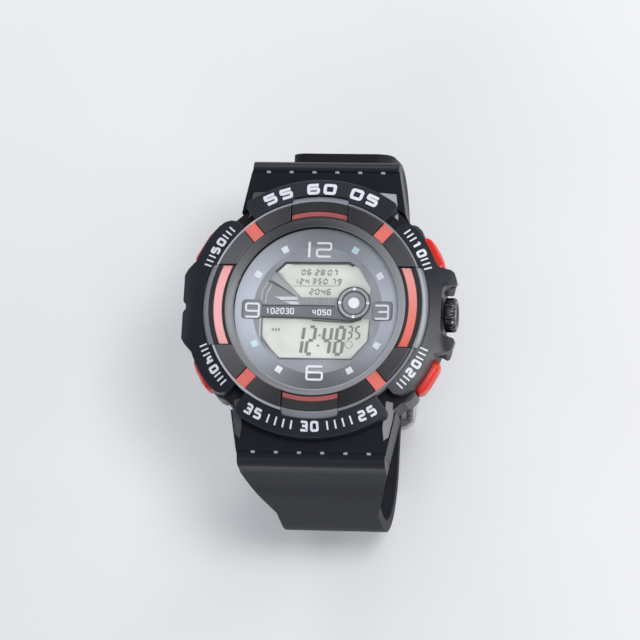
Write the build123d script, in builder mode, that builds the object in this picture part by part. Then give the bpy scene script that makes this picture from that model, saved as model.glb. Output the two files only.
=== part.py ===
from build123d import *
import math
import os

# A digital sports watch, buckled: case, bezel, display module, four pushers, crown and resin strap.
# Millimetres. The case back touches the wrist at z = 0, +Z comes out through the crystal,
# +Y is 12 o'clock and +X is 3 o'clock.

# Driving dimensions: bezel and case
RING_TOP = 14.2          # flat face of the bezel ring
PAD_RISE = 0.4           # how far the ring's eight diagonal pads stand above that face
RING_R = 21.0            # bezel ring between its tabs
TAB_R = 21.8             # bezel ring over its four tabs
BEVEL_R = 20.5           # where the bevel of a tab starts
CONE_R = 17.25           # where the ring's inner cone meets its flat face
EYE_R = 15.9             # clear opening over the crystal
CASE_R = 24.4
SHELL_R = 25.3           # outer edge of the bezel shell's plates and wings
WING_R = 24.4            # outer edge of the two wings on the crown side
GUARD_X = 26.7           # reach of the two crown guards
LOBE_X = 25.9            # reach of the two lobes on the 9 o'clock side
CROWN_FLAT = 24.0        # flat of the case behind the crown
CAVITY_R = 16.5          # corners of the sixteen-sided room for the display module
CRYSTAL_R = 17.1
BACK_R = 20.5

# Driving dimensions: heights
BACK_THICK = 1.0
BATTERY_BASE = 1.7
BOARD_BASE = 4.25
BOARD_TOP = 4.85
LCD_BASE = 8.3
SHELL_SEAT = 9.75        # deck of the case body that carries the bezel shell
DIAL_BASE = 10.0
DIAL_TOP = 10.35
DECK = 10.85             # deck of the case body that carries the bezel ring and the crystal
CRYSTAL_TOP = 12.35
SHELL_EDGE = 12.6        # top of the shell at its outer edge
SHELL_TOP = 13.7         # top of the shell beside the ring
PUSHER_Z = 6.4
CROWN_Z = 8.4
STRAP_TOP = 9.6

# Driving dimensions: pushers and crown
PUSHERS = {"start": 29.5, "light": 150.5, "mode": 209.5, "reset": 330.5}
TRAVEL = 1.0
CAP_LONG = 7.2
CAP_HIGH = 3.8
CAP_FACE = 26.4          # radius of the cap's outer face
CAP_BACK = 23.4          # radius of the cap's inner face
POCKET_FLOOR = CAP_BACK - TRAVEL - 0.2
STEM_R = 0.75
STEM_TIP = 15.5
CROWN_STEM_R = 0.8
CROWN_STEM_END = 20.4    # how deep the crown's stem reaches into its blind bore
CROWN_R = 3.4
CROWN_X = (24.3, 26.6)   # inner and outer face of the crown

# Driving dimensions: strap, buckle and keeper
ROOT_HALF = 15.9         # half width of the strap beside the case
BEND_HALF = 14.2         # half width where the strap turns down
BAND_HALF = 10.0         # half width from the wrist's side onwards
BAND_THICK = 2.4
TAIL_THICK = 2.2
LUG_BAR = (25.2, 4.4)    # y and z of the pin between the lugs
PIN_R = 0.75
LUG_X = (8.2, 11.2)      # inner and outer face of each lug
BUCKLE_BAR = (3.2, -38.2)  # y and z of the pin that joins buckle, prong and short strap
BAR_PIN_R = 0.65
FAR_BAR = (-10.2, -42.4)
FAR_BAR_R = 1.3
CROSS_Y = 27.6           # line across each strap root, just before it bends down
TAIL_GAP = 0.65          # between the short strap and the tail that lies on it

GAP = 0.05               # radial running clearance of a shaft in its bore
SLIT = 0.15              # clearance round a moulded piece that slides
SEAT = 0.05              # clearance between fixed pieces that rest on each other
ROD_SIDES = 16           # flats that stand for the round of small rods and their holes
DISC_SIDES = 48          # flats that stand for the round of discs whose rim is covered

os.makedirs("parts", exist_ok=True)


def finish(piece, label):
    piece.part.label = label
    export_step(piece.part, f"parts/{label}.step")


def sector(inner, outer, start, end):
    # An annular sector between two radii and two angles in degrees.
    with BuildSketch() as drawn:
        with BuildLine():
            near = CenterArc((0, 0), inner, start, end - start)
            far = CenterArc((0, 0), outer, start, end - start)
            Line(near @ 0, far @ 0)
            Line(near @ 1, far @ 1)
        make_face()
    return drawn.sketch


def radial_plane(angle, radius, height):
    # A plane that faces outwards from the case at an angle, with its own y axis along +Z.
    a = math.radians(angle)
    out = Vector(math.cos(a), math.sin(a), 0)
    return Plane(
        origin=(radius * out.X, radius * out.Y, height),
        x_dir=(-out.Y, out.X, 0),
        z_dir=tuple(out),
    )


# The bezel ring's red accents: an arc in each tab and a block on each diagonal
MAIN_TAB = 7.8           # half width of the tabs at 3 and 9 o'clock
END_TAB = 5.4            # half width of the tabs at 12 and 6 o'clock
ARCS = [
    (0, MAIN_TAB, 17.9, 19.6),
    (90, END_TAB, 17.6, 18.6),
    (180, MAIN_TAB, 17.9, 19.6),
    (270, END_TAB, 17.6, 18.6),
]
BLOCK_ANGLES = (49, 131, 229, 311)
BLOCK_LONG = 3.2         # radial length of a red block
BLOCK_WIDE = 2.5
BLOCK_MID = 19.0         # radius of a red block's middle
INLAY_FLOOR = 12.6       # floor of the recesses that hold the red inlays


def tab_cross(outer, gap):
    # The ground of the ring's four tabs: a cross of two bars, cut off at a radius.
    with BuildSketch() as drawn:
        Rectangle(3 * outer, 2 * (MAIN_TAB + gap))
        Rectangle(2 * (END_TAB + gap), 3 * outer)
        Circle(outer, mode=Mode.INTERSECT)
    return drawn.sketch


def accents(gap):
    # Outlines of the red arcs and blocks, drawn in by a gap on every side.
    with BuildSketch() as drawn:
        for angle, half, inner, outer in ARCS:
            with BuildSketch(mode=Mode.PRIVATE) as arc:
                with Locations(Location((0, 0), angle)):
                    with Locations((outer, 0)):
                        Rectangle(outer, 2 * (half - 0.1 - gap))
                Circle(outer - gap, mode=Mode.INTERSECT)
                Circle(inner + gap, mode=Mode.SUBTRACT)
            add(arc.sketch)
        for angle in BLOCK_ANGLES:
            with Locations(Location((0, 0), angle)):
                with Locations((BLOCK_MID, 0)):
                    Rectangle(BLOCK_LONG - 2 * gap, BLOCK_WIDE - 2 * gap)
    return drawn.sketch


# Case body: one moulding with the cavity, the decks for ring and shell, the lugs and the pusher pockets
CROWN_BAY = (9.4, 30)    # width of the bay between the crown guards, and more height than the case has
with BuildPart() as case_body:
    with BuildSketch(Plane.XZ):
        Polygon(
            (0, BACK_THICK),
            (22.6, BACK_THICK),
            (CASE_R, 2.8),
            (CASE_R, SHELL_SEAT),
            (RING_R + SEAT, SHELL_SEAT),
            (RING_R + SEAT, DECK),
            (0, DECK),
            align=None,
        )
    revolve(axis=Axis.Z)
    with BuildSketch(Plane.XY.offset(BACK_THICK)):
        RegularPolygon(CAVITY_R, 16)
    extrude(amount=DECK - BACK_THICK, mode=Mode.SUBTRACT)
    # Two lugs at 12 and two at 6 o'clock, each with a hole for the strap pin
    for side in (1, -1):
        for lug_x in (LUG_X[0], -LUG_X[1]):
            with BuildSketch(Plane.YZ.offset(lug_x)):
                Polygon((side * 21, 2.4), (side * LUG_BAR[0], 2.4), (side * 27.2, 4.4), (side * 26.6, 6.6),
                        (side * 24.6, 7.2), (side * 21, 7.2), align=None)
                with Locations((side * LUG_BAR[0], LUG_BAR[1])):
                    RegularPolygon(PIN_R + 0.02, ROD_SIDES, mode=Mode.SUBTRACT)
            extrude(amount=LUG_X[1] - LUG_X[0])
    # Flat for the crown and its blind bore
    with BuildSketch(Plane.YZ.offset(CROWN_FLAT)):
        Rectangle(*CROWN_BAY)
    extrude(amount=3, mode=Mode.SUBTRACT)
    with BuildSketch(Plane.YZ.offset(CROWN_STEM_END - 0.2)):
        with Locations((0, CROWN_Z)):
            Circle(CROWN_STEM_R + GAP)
    extrude(amount=4, mode=Mode.SUBTRACT)
    # Pusher pockets: a recess for the cap and a bore for the stem
    for angle in PUSHERS.values():
        with BuildSketch(radial_plane(angle, POCKET_FLOOR, PUSHER_Z)):
            Rectangle(CAP_LONG + 2 * SLIT, CAP_HIGH + 2 * SLIT)
        extrude(amount=4, mode=Mode.SUBTRACT)
        with BuildSketch(radial_plane(angle, CAVITY_R - 1, PUSHER_Z)):
            RegularPolygon(STEM_R + GAP, ROD_SIDES)
        extrude(amount=POCKET_FLOOR - CAVITY_R + 1, mode=Mode.SUBTRACT)
finish(case_body, "case_body")

# Bezel shell: plates at 12 and 6, wings on the diagonals, crown guards and 9 o'clock lobes
NOTCH = (46.5, 53.5)     # gap between a wing and its plate, measured from the 3 o'clock axis
WEB_TOP = 11.5           # floor of those gaps
GUARD_FOOT = 3.4
GUARD_STEP = 8.6         # from here up the guards have their full outline
LOBE_FOOT = 4.0
with BuildPart() as bezel_shell:
    with BuildSketch(Plane.XZ):
        Polygon(
            (RING_R + 0.1, SHELL_SEAT + SEAT),
            (RING_R + 0.1, SHELL_TOP),
            (SHELL_R, SHELL_EDGE),
            (SHELL_R, SHELL_SEAT + SEAT),
            align=None,
        )
    revolve(axis=Axis.Z)
    # Guards on the crown side: the full outline above the case deck, a narrower one below it
    for side in (1, -1):
        with BuildSketch(Plane.XY.offset(GUARD_STEP)):
            Polygon((22.5, side * 4.8), (26.2, side * 4.8), (GUARD_X, side * 5.3), (GUARD_X, side * 7.0),
                    (26.1, side * 8.1), (23.9, side * 9.6), (22.5, side * 9.8), align=None)
        extrude(amount=SHELL_EDGE - GUARD_STEP)
        with BuildSketch(Plane.XY.offset(GUARD_FOOT)):
            Polygon((23.0, side * 4.8), (26.2, side * 4.8), (GUARD_X, side * 5.3), (GUARD_X, side * 7.0),
                    (26.3, side * 7.9), (25.2, side * 8.1), (24.2, side * 7.5), (23.0, side * 7.2), align=None)
        extrude(amount=GUARD_STEP - GUARD_FOOT)
        with BuildSketch(Plane.XY.offset(LOBE_FOOT)):
            Polygon((-23.0, side * 0.3), (-25.3, side * 0.3), (-LOBE_X, side * 0.9), (-LOBE_X, side * 6.2),
                    (-25.3, side * 7.3), (-23.0, side * 7.6), align=None)
        extrude(amount=SHELL_EDGE - LOBE_FOOT)
    # The tops of guards and lobes fall away outwards
    for side in (1, -1):
        with BuildSketch(Plane.XZ.offset(-14)):
            Polygon((side * 24.2, 12.9), (side * 28.5, 10.3), (side * 28.5, 15), (side * 24.2, 15), align=None)
        extrude(amount=28, mode=Mode.SUBTRACT)
    # Flanks of the guards lean in towards the wrist
    with BuildSketch(Plane.XZ.offset(-14)):
        Polygon((GUARD_X + 0.1, 10), (GUARD_X - 1, GUARD_FOOT - 0.5), (28.5, GUARD_FOOT - 0.5), (28.5, 10), align=None)
    extrude(amount=28, mode=Mode.SUBTRACT)
    # The wings on the crown side are cut back behind their pushers
    with BuildSketch(Plane.XY.offset(SHELL_SEAT)):
        add(sector(WING_R, SHELL_R + 2, 21.5, 47))
        add(sector(WING_R, SHELL_R + 2, -47, -21.5))
    extrude(amount=4, mode=Mode.SUBTRACT)
    # Room for the case body below the deck, and a flat behind the crown
    with BuildSketch(Plane.XY):
        Circle(CASE_R + SEAT)
    extrude(amount=SHELL_SEAT + SEAT, mode=Mode.SUBTRACT)
    with BuildSketch(Plane.YZ.offset(CROWN_FLAT)):
        Rectangle(*CROWN_BAY)
    extrude(amount=5, mode=Mode.SUBTRACT)
    # Notches for the ring's four tabs
    with BuildSketch(Plane.XY.offset(DECK)):
        add(tab_cross(TAB_R + 0.1, 0.15))
    extrude(amount=4, mode=Mode.SUBTRACT)
    # Gaps between plates and wings, down to a thin web
    with BuildSketch(Plane.XY.offset(WEB_TOP)):
        for start, end in (NOTCH, (180 - NOTCH[1], 180 - NOTCH[0])):
            add(sector(RING_R - 1, SHELL_R + 2, start, end))
            add(sector(RING_R - 1, SHELL_R + 2, start + 180, end + 180))
    extrude(amount=4, mode=Mode.SUBTRACT)
finish(bezel_shell, "bezel_shell")

# Bezel ring: cone, flat face, bevelled tabs, raised diagonal pads and recesses for the accents
LIP_BASE = CRYSTAL_TOP + 0.3
BEVEL_FOOT = 13.2
with BuildPart() as bezel_ring:
    with BuildSketch(Plane.XZ):
        Polygon(
            (EYE_R, LIP_BASE),
            (CONE_R, RING_TOP),
            (BEVEL_R, RING_TOP),
            (TAB_R, BEVEL_FOOT),
            (TAB_R, DECK + SEAT),
            (EYE_R, DECK + SEAT),
            align=None,
        )
    revolve(axis=Axis.Z)
    # Room for the crystal
    with BuildSketch(Plane.XY.offset(DECK)):
        RegularPolygon(CRYSTAL_R + 0.15, DISC_SIDES)
    extrude(amount=LIP_BASE - DECK, mode=Mode.SUBTRACT)
    # Between the tabs the ring is smaller, and carries a raised pad on each side of its red block
    with BuildSketch(Plane.XY.offset(DECK)):
        Circle(TAB_R + 1)
        Circle(RING_R, mode=Mode.SUBTRACT)
        add(tab_cross(TAB_R + 1, 0), mode=Mode.SUBTRACT)
    extrude(amount=5, mode=Mode.SUBTRACT)
    with BuildSketch(Plane.XY.offset(RING_TOP - 0.5)):
        Circle(BEVEL_R - 0.05)
        Circle(CONE_R + 0.15, mode=Mode.SUBTRACT)
        add(tab_cross(TAB_R, 0.15), mode=Mode.SUBTRACT)
        for angle in BLOCK_ANGLES[:2]:
            with Locations(Location((0, 0), angle)):
                Rectangle(3 * TAB_R, BLOCK_WIDE + 0.3, mode=Mode.SUBTRACT)
    extrude(amount=0.5 + PAD_RISE)
    with BuildSketch(Plane.XY.offset(INLAY_FLOOR)):
        add(accents(0))
    extrude(amount=5, mode=Mode.SUBTRACT)
finish(bezel_ring, "bezel_ring")

# Red inlays: four arcs and four blocks, each in its own recess of the bezel ring
with BuildPart() as red_inlays:
    with BuildSketch(Plane.XY.offset(INLAY_FLOOR)):
        add(accents(0.05))
    extrude(amount=RING_TOP - INLAY_FLOOR - 0.1)
finish(red_inlays, "red_inlays")

# Crystal, bonded on the case body inside the bezel ring
with BuildPart() as crystal:
    with BuildSketch(Plane.XY.offset(DECK)):
        RegularPolygon(CRYSTAL_R, DISC_SIDES)
    extrude(amount=CRYSTAL_TOP - DECK)
finish(crystal, "crystal")

# Dial plate: two display windows round a sub-dial, with a band between them
SUBDIAL = (7.0, 1.3)
SUBDIAL_R = 3.0
with BuildPart() as dial_plate:
    with BuildSketch(Plane.XY.offset(DIAL_BASE)):
        RegularPolygon(16.1, DISC_SIDES)
        Polygon((-5.6, 9.1), (6.2, 9.1), (7.7, 8.5), (10.2, 4.5), (10.0, 3.4), (3.4, 2.4), (-3.1, 2.4),
                (-7.8, 7.2), align=None, mode=Mode.SUBTRACT)
        Polygon((-10.4, -1.5), (-10.5, -5.0), (-7.1, -9.7), (6.6, -9.7), (10.2, -5.5), (10.4, -1.5),
                align=None, mode=Mode.SUBTRACT)
        with Locations(SUBDIAL):
            RegularPolygon(SUBDIAL_R, DISC_SIDES)
    extrude(amount=DIAL_TOP - DIAL_BASE)
finish(dial_plate, "dial_plate")

with BuildPart() as subdial_ring:
    with BuildSketch(Plane.XY.offset(DIAL_TOP)):
        with Locations(SUBDIAL):
            RegularPolygon(SUBDIAL_R, DISC_SIDES)
    extrude(amount=0.25)
    with BuildSketch(Plane.XY.offset(DIAL_TOP + 0.25)):
        with Locations(SUBDIAL):
            RegularPolygon(1.0, ROD_SIDES)
    extrude(amount=0.15)
finish(subdial_ring, "subdial_ring")

# Display glass in two layers, the front one shorter so that its contact edges stay free
LCD = (22.6, 21.2)
with BuildPart() as lcd_glass:
    with BuildSketch(Plane.XY.offset(LCD_BASE)):
        Rectangle(*LCD)
    extrude(amount=0.75)
    with BuildSketch(Plane.XY.offset(LCD_BASE + 0.75)):
        Rectangle(LCD[0], LCD[1] - 2.6)
    extrude(amount=0.85)
finish(lcd_glass, "lcd_glass")

with BuildPart() as backlight_panel:
    with BuildSketch(Plane.YZ.offset(-10)):
        Polygon((-8, 7.9), (8, 7.4), (8, 8.2), (-8, 8.2), align=None)
    extrude(amount=20)
finish(backlight_panel, "backlight_panel")

with BuildPart() as backlight_led:
    with BuildSketch(Plane.XY.offset(7.3)):
        with Locations((0, 8.55)):
            Rectangle(3.0, 0.9)
    extrude(amount=0.8)
finish(backlight_led, "backlight_led")

# The module is eight-sided, so that its flats clear the pushers' stems
ZEBRA_Y = 9.9
with BuildPart() as zebra_strips:
    with BuildSketch(Plane.XY.offset(BOARD_TOP)):
        with Locations((0, ZEBRA_Y), (0, -ZEBRA_Y)):
            Rectangle(20, 1.2)
    extrude(amount=LCD_BASE - BOARD_TOP)
finish(zebra_strips, "zebra_strips")

with BuildPart() as module_frame:
    with BuildSketch(Plane.XY.offset(BOARD_TOP)):
        RegularPolygon(16.2, 8)
    extrude(amount=DIAL_BASE - BOARD_TOP)
    with BuildSketch(Plane.XY.offset(LCD_BASE - SEAT)):
        Rectangle(LCD[0] + 0.2, LCD[1] + 0.2)
    extrude(amount=3, mode=Mode.SUBTRACT)
    with BuildSketch(Plane.XY.offset(7.2)):
        Rectangle(20.4, 16.4)
        with Locations((0, 8.5)):
            Rectangle(3.4, 1.2)
    extrude(amount=3, mode=Mode.SUBTRACT)
    with BuildSketch(Plane.XY.offset(BOARD_BASE)):
        Rectangle(18, 14)
    extrude(amount=7.0 - BOARD_BASE, mode=Mode.SUBTRACT)
    with BuildSketch(Plane.XY.offset(BOARD_BASE)):
        with Locations((0, ZEBRA_Y), (0, -ZEBRA_Y)):
            Rectangle(20.4, 1.5)
    extrude(amount=6, mode=Mode.SUBTRACT)
    for angle in PUSHERS.values():
        with BuildSketch(radial_plane(angle, 12.9, PUSHER_Z)):
            Rectangle(3.6, 4.0)
        extrude(amount=5, mode=Mode.SUBTRACT)
finish(module_frame, "module_frame")

with BuildPart() as circuit_board:
    with BuildSketch(Plane.XY.offset(BOARD_BASE)):
        RegularPolygon(15.9, 8)
    extrude(amount=BOARD_TOP - BOARD_BASE)
finish(circuit_board, "circuit_board")

with BuildPart() as chip:
    with BuildSketch(Plane.XY.offset(BOARD_TOP)):
        Rectangle(6, 6)
    extrude(amount=0.9, taper=30)
finish(chip, "chip")

with BuildPart() as quartz_crystal:
    with BuildSketch(Plane.YZ.offset(-6.5)):
        with Locations((5.2, BOARD_TOP + 1.0)):
            RegularPolygon(1.0, ROD_SIDES)
    extrude(amount=6)
finish(quartz_crystal, "quartz_crystal")

with BuildPart() as smd_parts:
    with BuildSketch(Plane.XY.offset(BOARD_TOP)):
        with GridLocations(2.4, 2.6, 2, 3):
            with Locations((6.4, 0)):
                Rectangle(1.6, 0.8)
    extrude(amount=0.7)
finish(smd_parts, "smd_parts")

BATTERY_R = 10.0
with BuildPart() as battery:
    with BuildSketch(Plane.XY.offset(BATTERY_BASE)):
        RegularPolygon(BATTERY_R, DISC_SIDES)
    extrude(amount=2.5)
finish(battery, "battery")

with BuildPart() as battery_holder:
    with BuildSketch(Plane.XY.offset(BATTERY_BASE)):
        RegularPolygon(15.9, 8)
        Rectangle(2 * BATTERY_R + 0.2, 2 * BATTERY_R + 0.2, mode=Mode.SUBTRACT)
    extrude(amount=BOARD_BASE - BATTERY_BASE)
finish(battery_holder, "battery_holder")

with BuildPart() as battery_clip:
    with BuildSketch(Plane.XY.offset(BATTERY_BASE - 0.25)):
        Rectangle(26, 5)
    extrude(amount=0.2)
finish(battery_clip, "battery_clip")

with BuildPart() as buzzer_disc:
    with BuildSketch(Plane.XY.offset(BACK_THICK)):
        RegularPolygon(7, ROD_SIDES)
    extrude(amount=0.25)
finish(buzzer_disc, "buzzer_disc")

with BuildPart() as back_gasket:
    with BuildSketch(Plane.XY.offset(BACK_THICK)):
        RegularPolygon(CAVITY_R - 0.02, 16)
        RegularPolygon(CAVITY_R - 0.4, 16, mode=Mode.SUBTRACT)
    extrude(amount=0.6)
finish(back_gasket, "back_gasket")

with BuildPart() as case_back:
    with BuildSketch(Plane.XY):
        RegularPolygon(BACK_R, DISC_SIDES)
    extrude(amount=BACK_THICK)
finish(case_back, "case_back")

# Pushers: a moulded cap on a steel stem, a clip inside the case and a leaf spring on the board.
# The stem's tip rests on the leaf, which pushes it back and is also the switch's contact.
CLIP_AT = 15.85          # radius of the clip's inner face
LEAF_THICK = 0.15
for name, angle in PUSHERS.items():
    with BuildPart() as cap:
        with BuildSketch(radial_plane(angle, CAP_BACK, PUSHER_Z)):
            corners = Rectangle(CAP_LONG, CAP_HIGH).vertices()
            chamfer(corners, 0.7)
        extrude(amount=CAP_FACE - CAP_BACK)
        outwards = Axis(origin=(0, 0, 0), direction=radial_plane(angle, 1, 0).z_dir)
        chamfer(cap.faces().sort_by(outwards)[-1].edges(), 0.6)
    finish(cap, f"{name}_cap")

    with BuildPart() as stem:
        with BuildSketch(radial_plane(angle, STEM_TIP, PUSHER_Z)):
            RegularPolygon(STEM_R, ROD_SIDES)
        extrude(amount=CAP_BACK - STEM_TIP)
    finish(stem, f"{name}_stem")

    with BuildPart() as clip:
        with BuildSketch(radial_plane(angle, CLIP_AT, PUSHER_Z)):
            Rectangle(2.6, 2.6)
            with Locations((0, STEM_R - 2)):
                Rectangle(2 * STEM_R, 4, mode=Mode.SUBTRACT)
        extrude(amount=0.25)
    finish(clip, f"{name}_clip")

    leaf_end = STEM_TIP - 0.02
    out = radial_plane(angle, 1, 0).z_dir
    with BuildPart() as leaf:
        with BuildSketch(Plane(origin=(0, 0, 0), x_dir=out, z_dir=out.cross(Vector(0, 0, 1)))):
            Polygon((13.4, BOARD_TOP + SEAT), (leaf_end, BOARD_TOP + SEAT), (leaf_end, 7.8),
                    (leaf_end - LEAF_THICK, 7.8), (leaf_end - LEAF_THICK, BOARD_TOP + SEAT + LEAF_THICK),
                    (13.4, BOARD_TOP + SEAT + LEAF_THICK), align=None)
        extrude(amount=0.8, both=True)
    finish(leaf, f"{name}_leaf_spring")

# Crown: a fluted knob on a stem that turns in a blind bore
FLUTES = 16
with BuildPart() as crown:
    with BuildSketch(Plane.YZ.offset(CROWN_X[0])):
        with Locations((0, CROWN_Z)):
            rim = []
            for step in range(2 * FLUTES):
                reach = CROWN_R if step % 2 else CROWN_R - 0.35
                turn = math.pi * step / FLUTES
                rim.append((reach * math.cos(turn), reach * math.sin(turn)))
            Polygon(*rim, align=None)
    extrude(amount=CROWN_X[1] - CROWN_X[0])
finish(crown, "crown")

with BuildPart() as crown_stem:
    with BuildSketch(Plane.YZ.offset(CROWN_STEM_END)):
        with Locations((0, CROWN_Z)):
            Circle(CROWN_STEM_R)
    extrude(amount=CROWN_X[0] - CROWN_STEM_END)
finish(crown_stem, "crown_stem")

# Strap: the loop's shape seen from the side. Each half leaves the case at the bend, runs down
# the side of the wrist on a straight stretch and turns under it on one large corner.
BEND = (28.95, 6.4)
SIDE_TOP = (32.4, -8.0)
SIDE_FOOT = (34.4, -22.0)
LEAN = math.degrees(math.atan2(SIDE_FOOT[0] - SIDE_TOP[0], SIDE_TOP[1] - SIDE_FOOT[1]))
SHORT_FLOOR = BUCKLE_BAR[1]
LONG_FLOOR = -39.7
TAIL_FLOOR = SHORT_FLOOR - BAND_THICK / 2 - TAIL_GAP - TAIL_THICK / 2


def corner_radius(floor):
    # Radius that joins the leaning side stretch to a level floor.
    return (SIDE_FOOT[1] - floor) / (1 + math.sin(math.radians(LEAN)))


def side_path(side, floor, end_y):
    # Centre line of one strap half, from its bend down to the floor and along it to end_y.
    radius = corner_radius(floor)
    lean = math.radians(LEAN)
    centre = (SIDE_FOOT[0] - radius * math.cos(lean), floor + radius)
    middle = math.radians(-45 - LEAN / 2)
    with BuildLine() as path:
        run = Line((side * SIDE_TOP[0], SIDE_TOP[1]), (side * SIDE_FOOT[0], SIDE_FOOT[1]))
        TangentArc((side * SIDE_TOP[0], SIDE_TOP[1]), (side * BEND[0], BEND[1]), tangent=-1 * (run % 0))
        ThreePointArc(
            (side * SIDE_FOOT[0], SIDE_FOOT[1]),
            (side * (centre[0] + radius * math.cos(middle)), centre[1] + radius * math.sin(middle)),
            (side * centre[0], floor),
        )
        Line((side * centre[0], floor), (end_y, floor))
    return path.line


def taper_outline():
    # The strap's width seen from 12 o'clock: wide at the bend, narrower down the side.
    with BuildSketch() as outline:
        Polygon((-BEND_HALF, 9), (BEND_HALF, 9), (BEND_HALF, 5), (BAND_HALF, -15), (BAND_HALF, -46),
                (-BAND_HALF, -46), (-BAND_HALF, -15), (-BEND_HALF, 5), align=None)
    return outline.sketch


def root_block(side):
    # The wide end beside the case: flat top, rounded bend, tongue for the pin, ears and lug slots.
    with BuildPart() as root:
        with BuildSketch(Plane.YZ):
            with BuildLine():
                Polyline((side * 30.1, 6.9), (side * 30.9, 4.4), (side * 28.6, 2.6), (side * 17.5, 2.6),
                         (side * 17.5, STRAP_TOP), (side * 27.9, STRAP_TOP))
                TangentArc((side * 27.9, STRAP_TOP), (side * 30.1, 6.9), tangent=(side, 0))
            make_face()
        extrude(amount=ROOT_HALF, both=True)
        with BuildSketch(Plane.XY):
            Polygon((-ROOT_HALF, side * 17), (-ROOT_HALF, side * 19.5), (-BEND_HALF, side * 28.5),
                    (-BEND_HALF, side * 32), (BEND_HALF, side * 32), (BEND_HALF, side * 28.5),
                    (ROOT_HALF, side * 19.5), (ROOT_HALF, side * 17), align=None)
        extrude(amount=20, mode=Mode.INTERSECT)
        # The case body and the bezel shell stand in this hollow
        with BuildSketch(Plane.XY):
            Circle(CASE_R + 0.55)
        extrude(amount=12, mode=Mode.SUBTRACT)
        with BuildSketch(Plane.XY.offset(STRAP_TOP)):
            Circle(SHELL_R + 0.5)
        extrude(amount=3, mode=Mode.SUBTRACT)
        # Slots for the two lugs, and the space round the tongue's nose
        for centre in (-1, 1):
            with BuildSketch(Plane.YZ.offset(centre * (LUG_X[0] + LUG_X[1]) / 2)):
                Polygon((side * 20, 0), (side * 27.7, 0), (side * 27.7, 7.5), (side * 20, 7.5), align=None)
            extrude(amount=(LUG_X[1] - LUG_X[0]) / 2 + 0.2, both=True, mode=Mode.SUBTRACT)
        # Slot that snaps over the pin from above
        with BuildSketch(Plane.YZ):
            with Locations((side * LUG_BAR[0], LUG_BAR[1] + PIN_R + 0.02)):
                Rectangle(2 * PIN_R + 0.04, 4, align=(Align.CENTER, Align.MAX))
        extrude(amount=LUG_X[0], both=True, mode=Mode.SUBTRACT)
        # Line across the strap ahead of the bend, with its row of small nubs
        with BuildSketch(Plane.YZ):
            with Locations((side * CROSS_Y, STRAP_TOP - 0.25)):
                Rectangle(0.4, 1, align=(Align.CENTER, Align.MIN))
        extrude(amount=ROOT_HALF, both=True, mode=Mode.SUBTRACT)
        with BuildSketch(Plane.XY.offset(STRAP_TOP - 0.3)):
            with Locations((0, side * (CROSS_Y - 0.2))):
                with GridLocations(4.45, 1, 6, 1):
                    Rectangle(0.9, 0.7)
        extrude(amount=0.55)
    return root.part


upper_root = root_block(1)
lower_root = root_block(-1)
PRONG_HOLE = -3.2        # y of the hole that the prong goes through
HOLE_PITCH = 6.0
NOSE_R = 1.7             # end of the short strap round the buckle's bar

with BuildPart() as strap_upper:
    with BuildSketch(Plane.YZ):
        with BuildLine():
            offset(side_path(1, SHORT_FLOOR, BUCKLE_BAR[0]), amount=BAND_THICK / 2, side=Side.BOTH)
        make_face()
    extrude(amount=BEND_HALF, both=True)
    with BuildSketch(Plane.XZ):
        add(taper_outline())
    extrude(amount=60, both=True, mode=Mode.INTERSECT)
    # Nose round the buckle's bar, slotted for the prong
    with BuildSketch(Plane.YZ):
        with Locations(BUCKLE_BAR):
            RegularPolygon(NOSE_R, ROD_SIDES)
    extrude(amount=BAND_HALF, both=True)
    with BuildSketch(Plane.YZ):
        with Locations(BUCKLE_BAR):
            RegularPolygon(BAR_PIN_R + 0.05, ROD_SIDES)
    extrude(amount=BAND_HALF, both=True, mode=Mode.SUBTRACT)
    with BuildSketch(Plane.XY.offset(SHORT_FLOOR - 3)):
        with Locations((0, BUCKLE_BAR[0])):
            Rectangle(2.4, 7)
    extrude(amount=6, mode=Mode.SUBTRACT)
    add(upper_root)
finish(strap_upper, "strap_upper")

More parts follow.
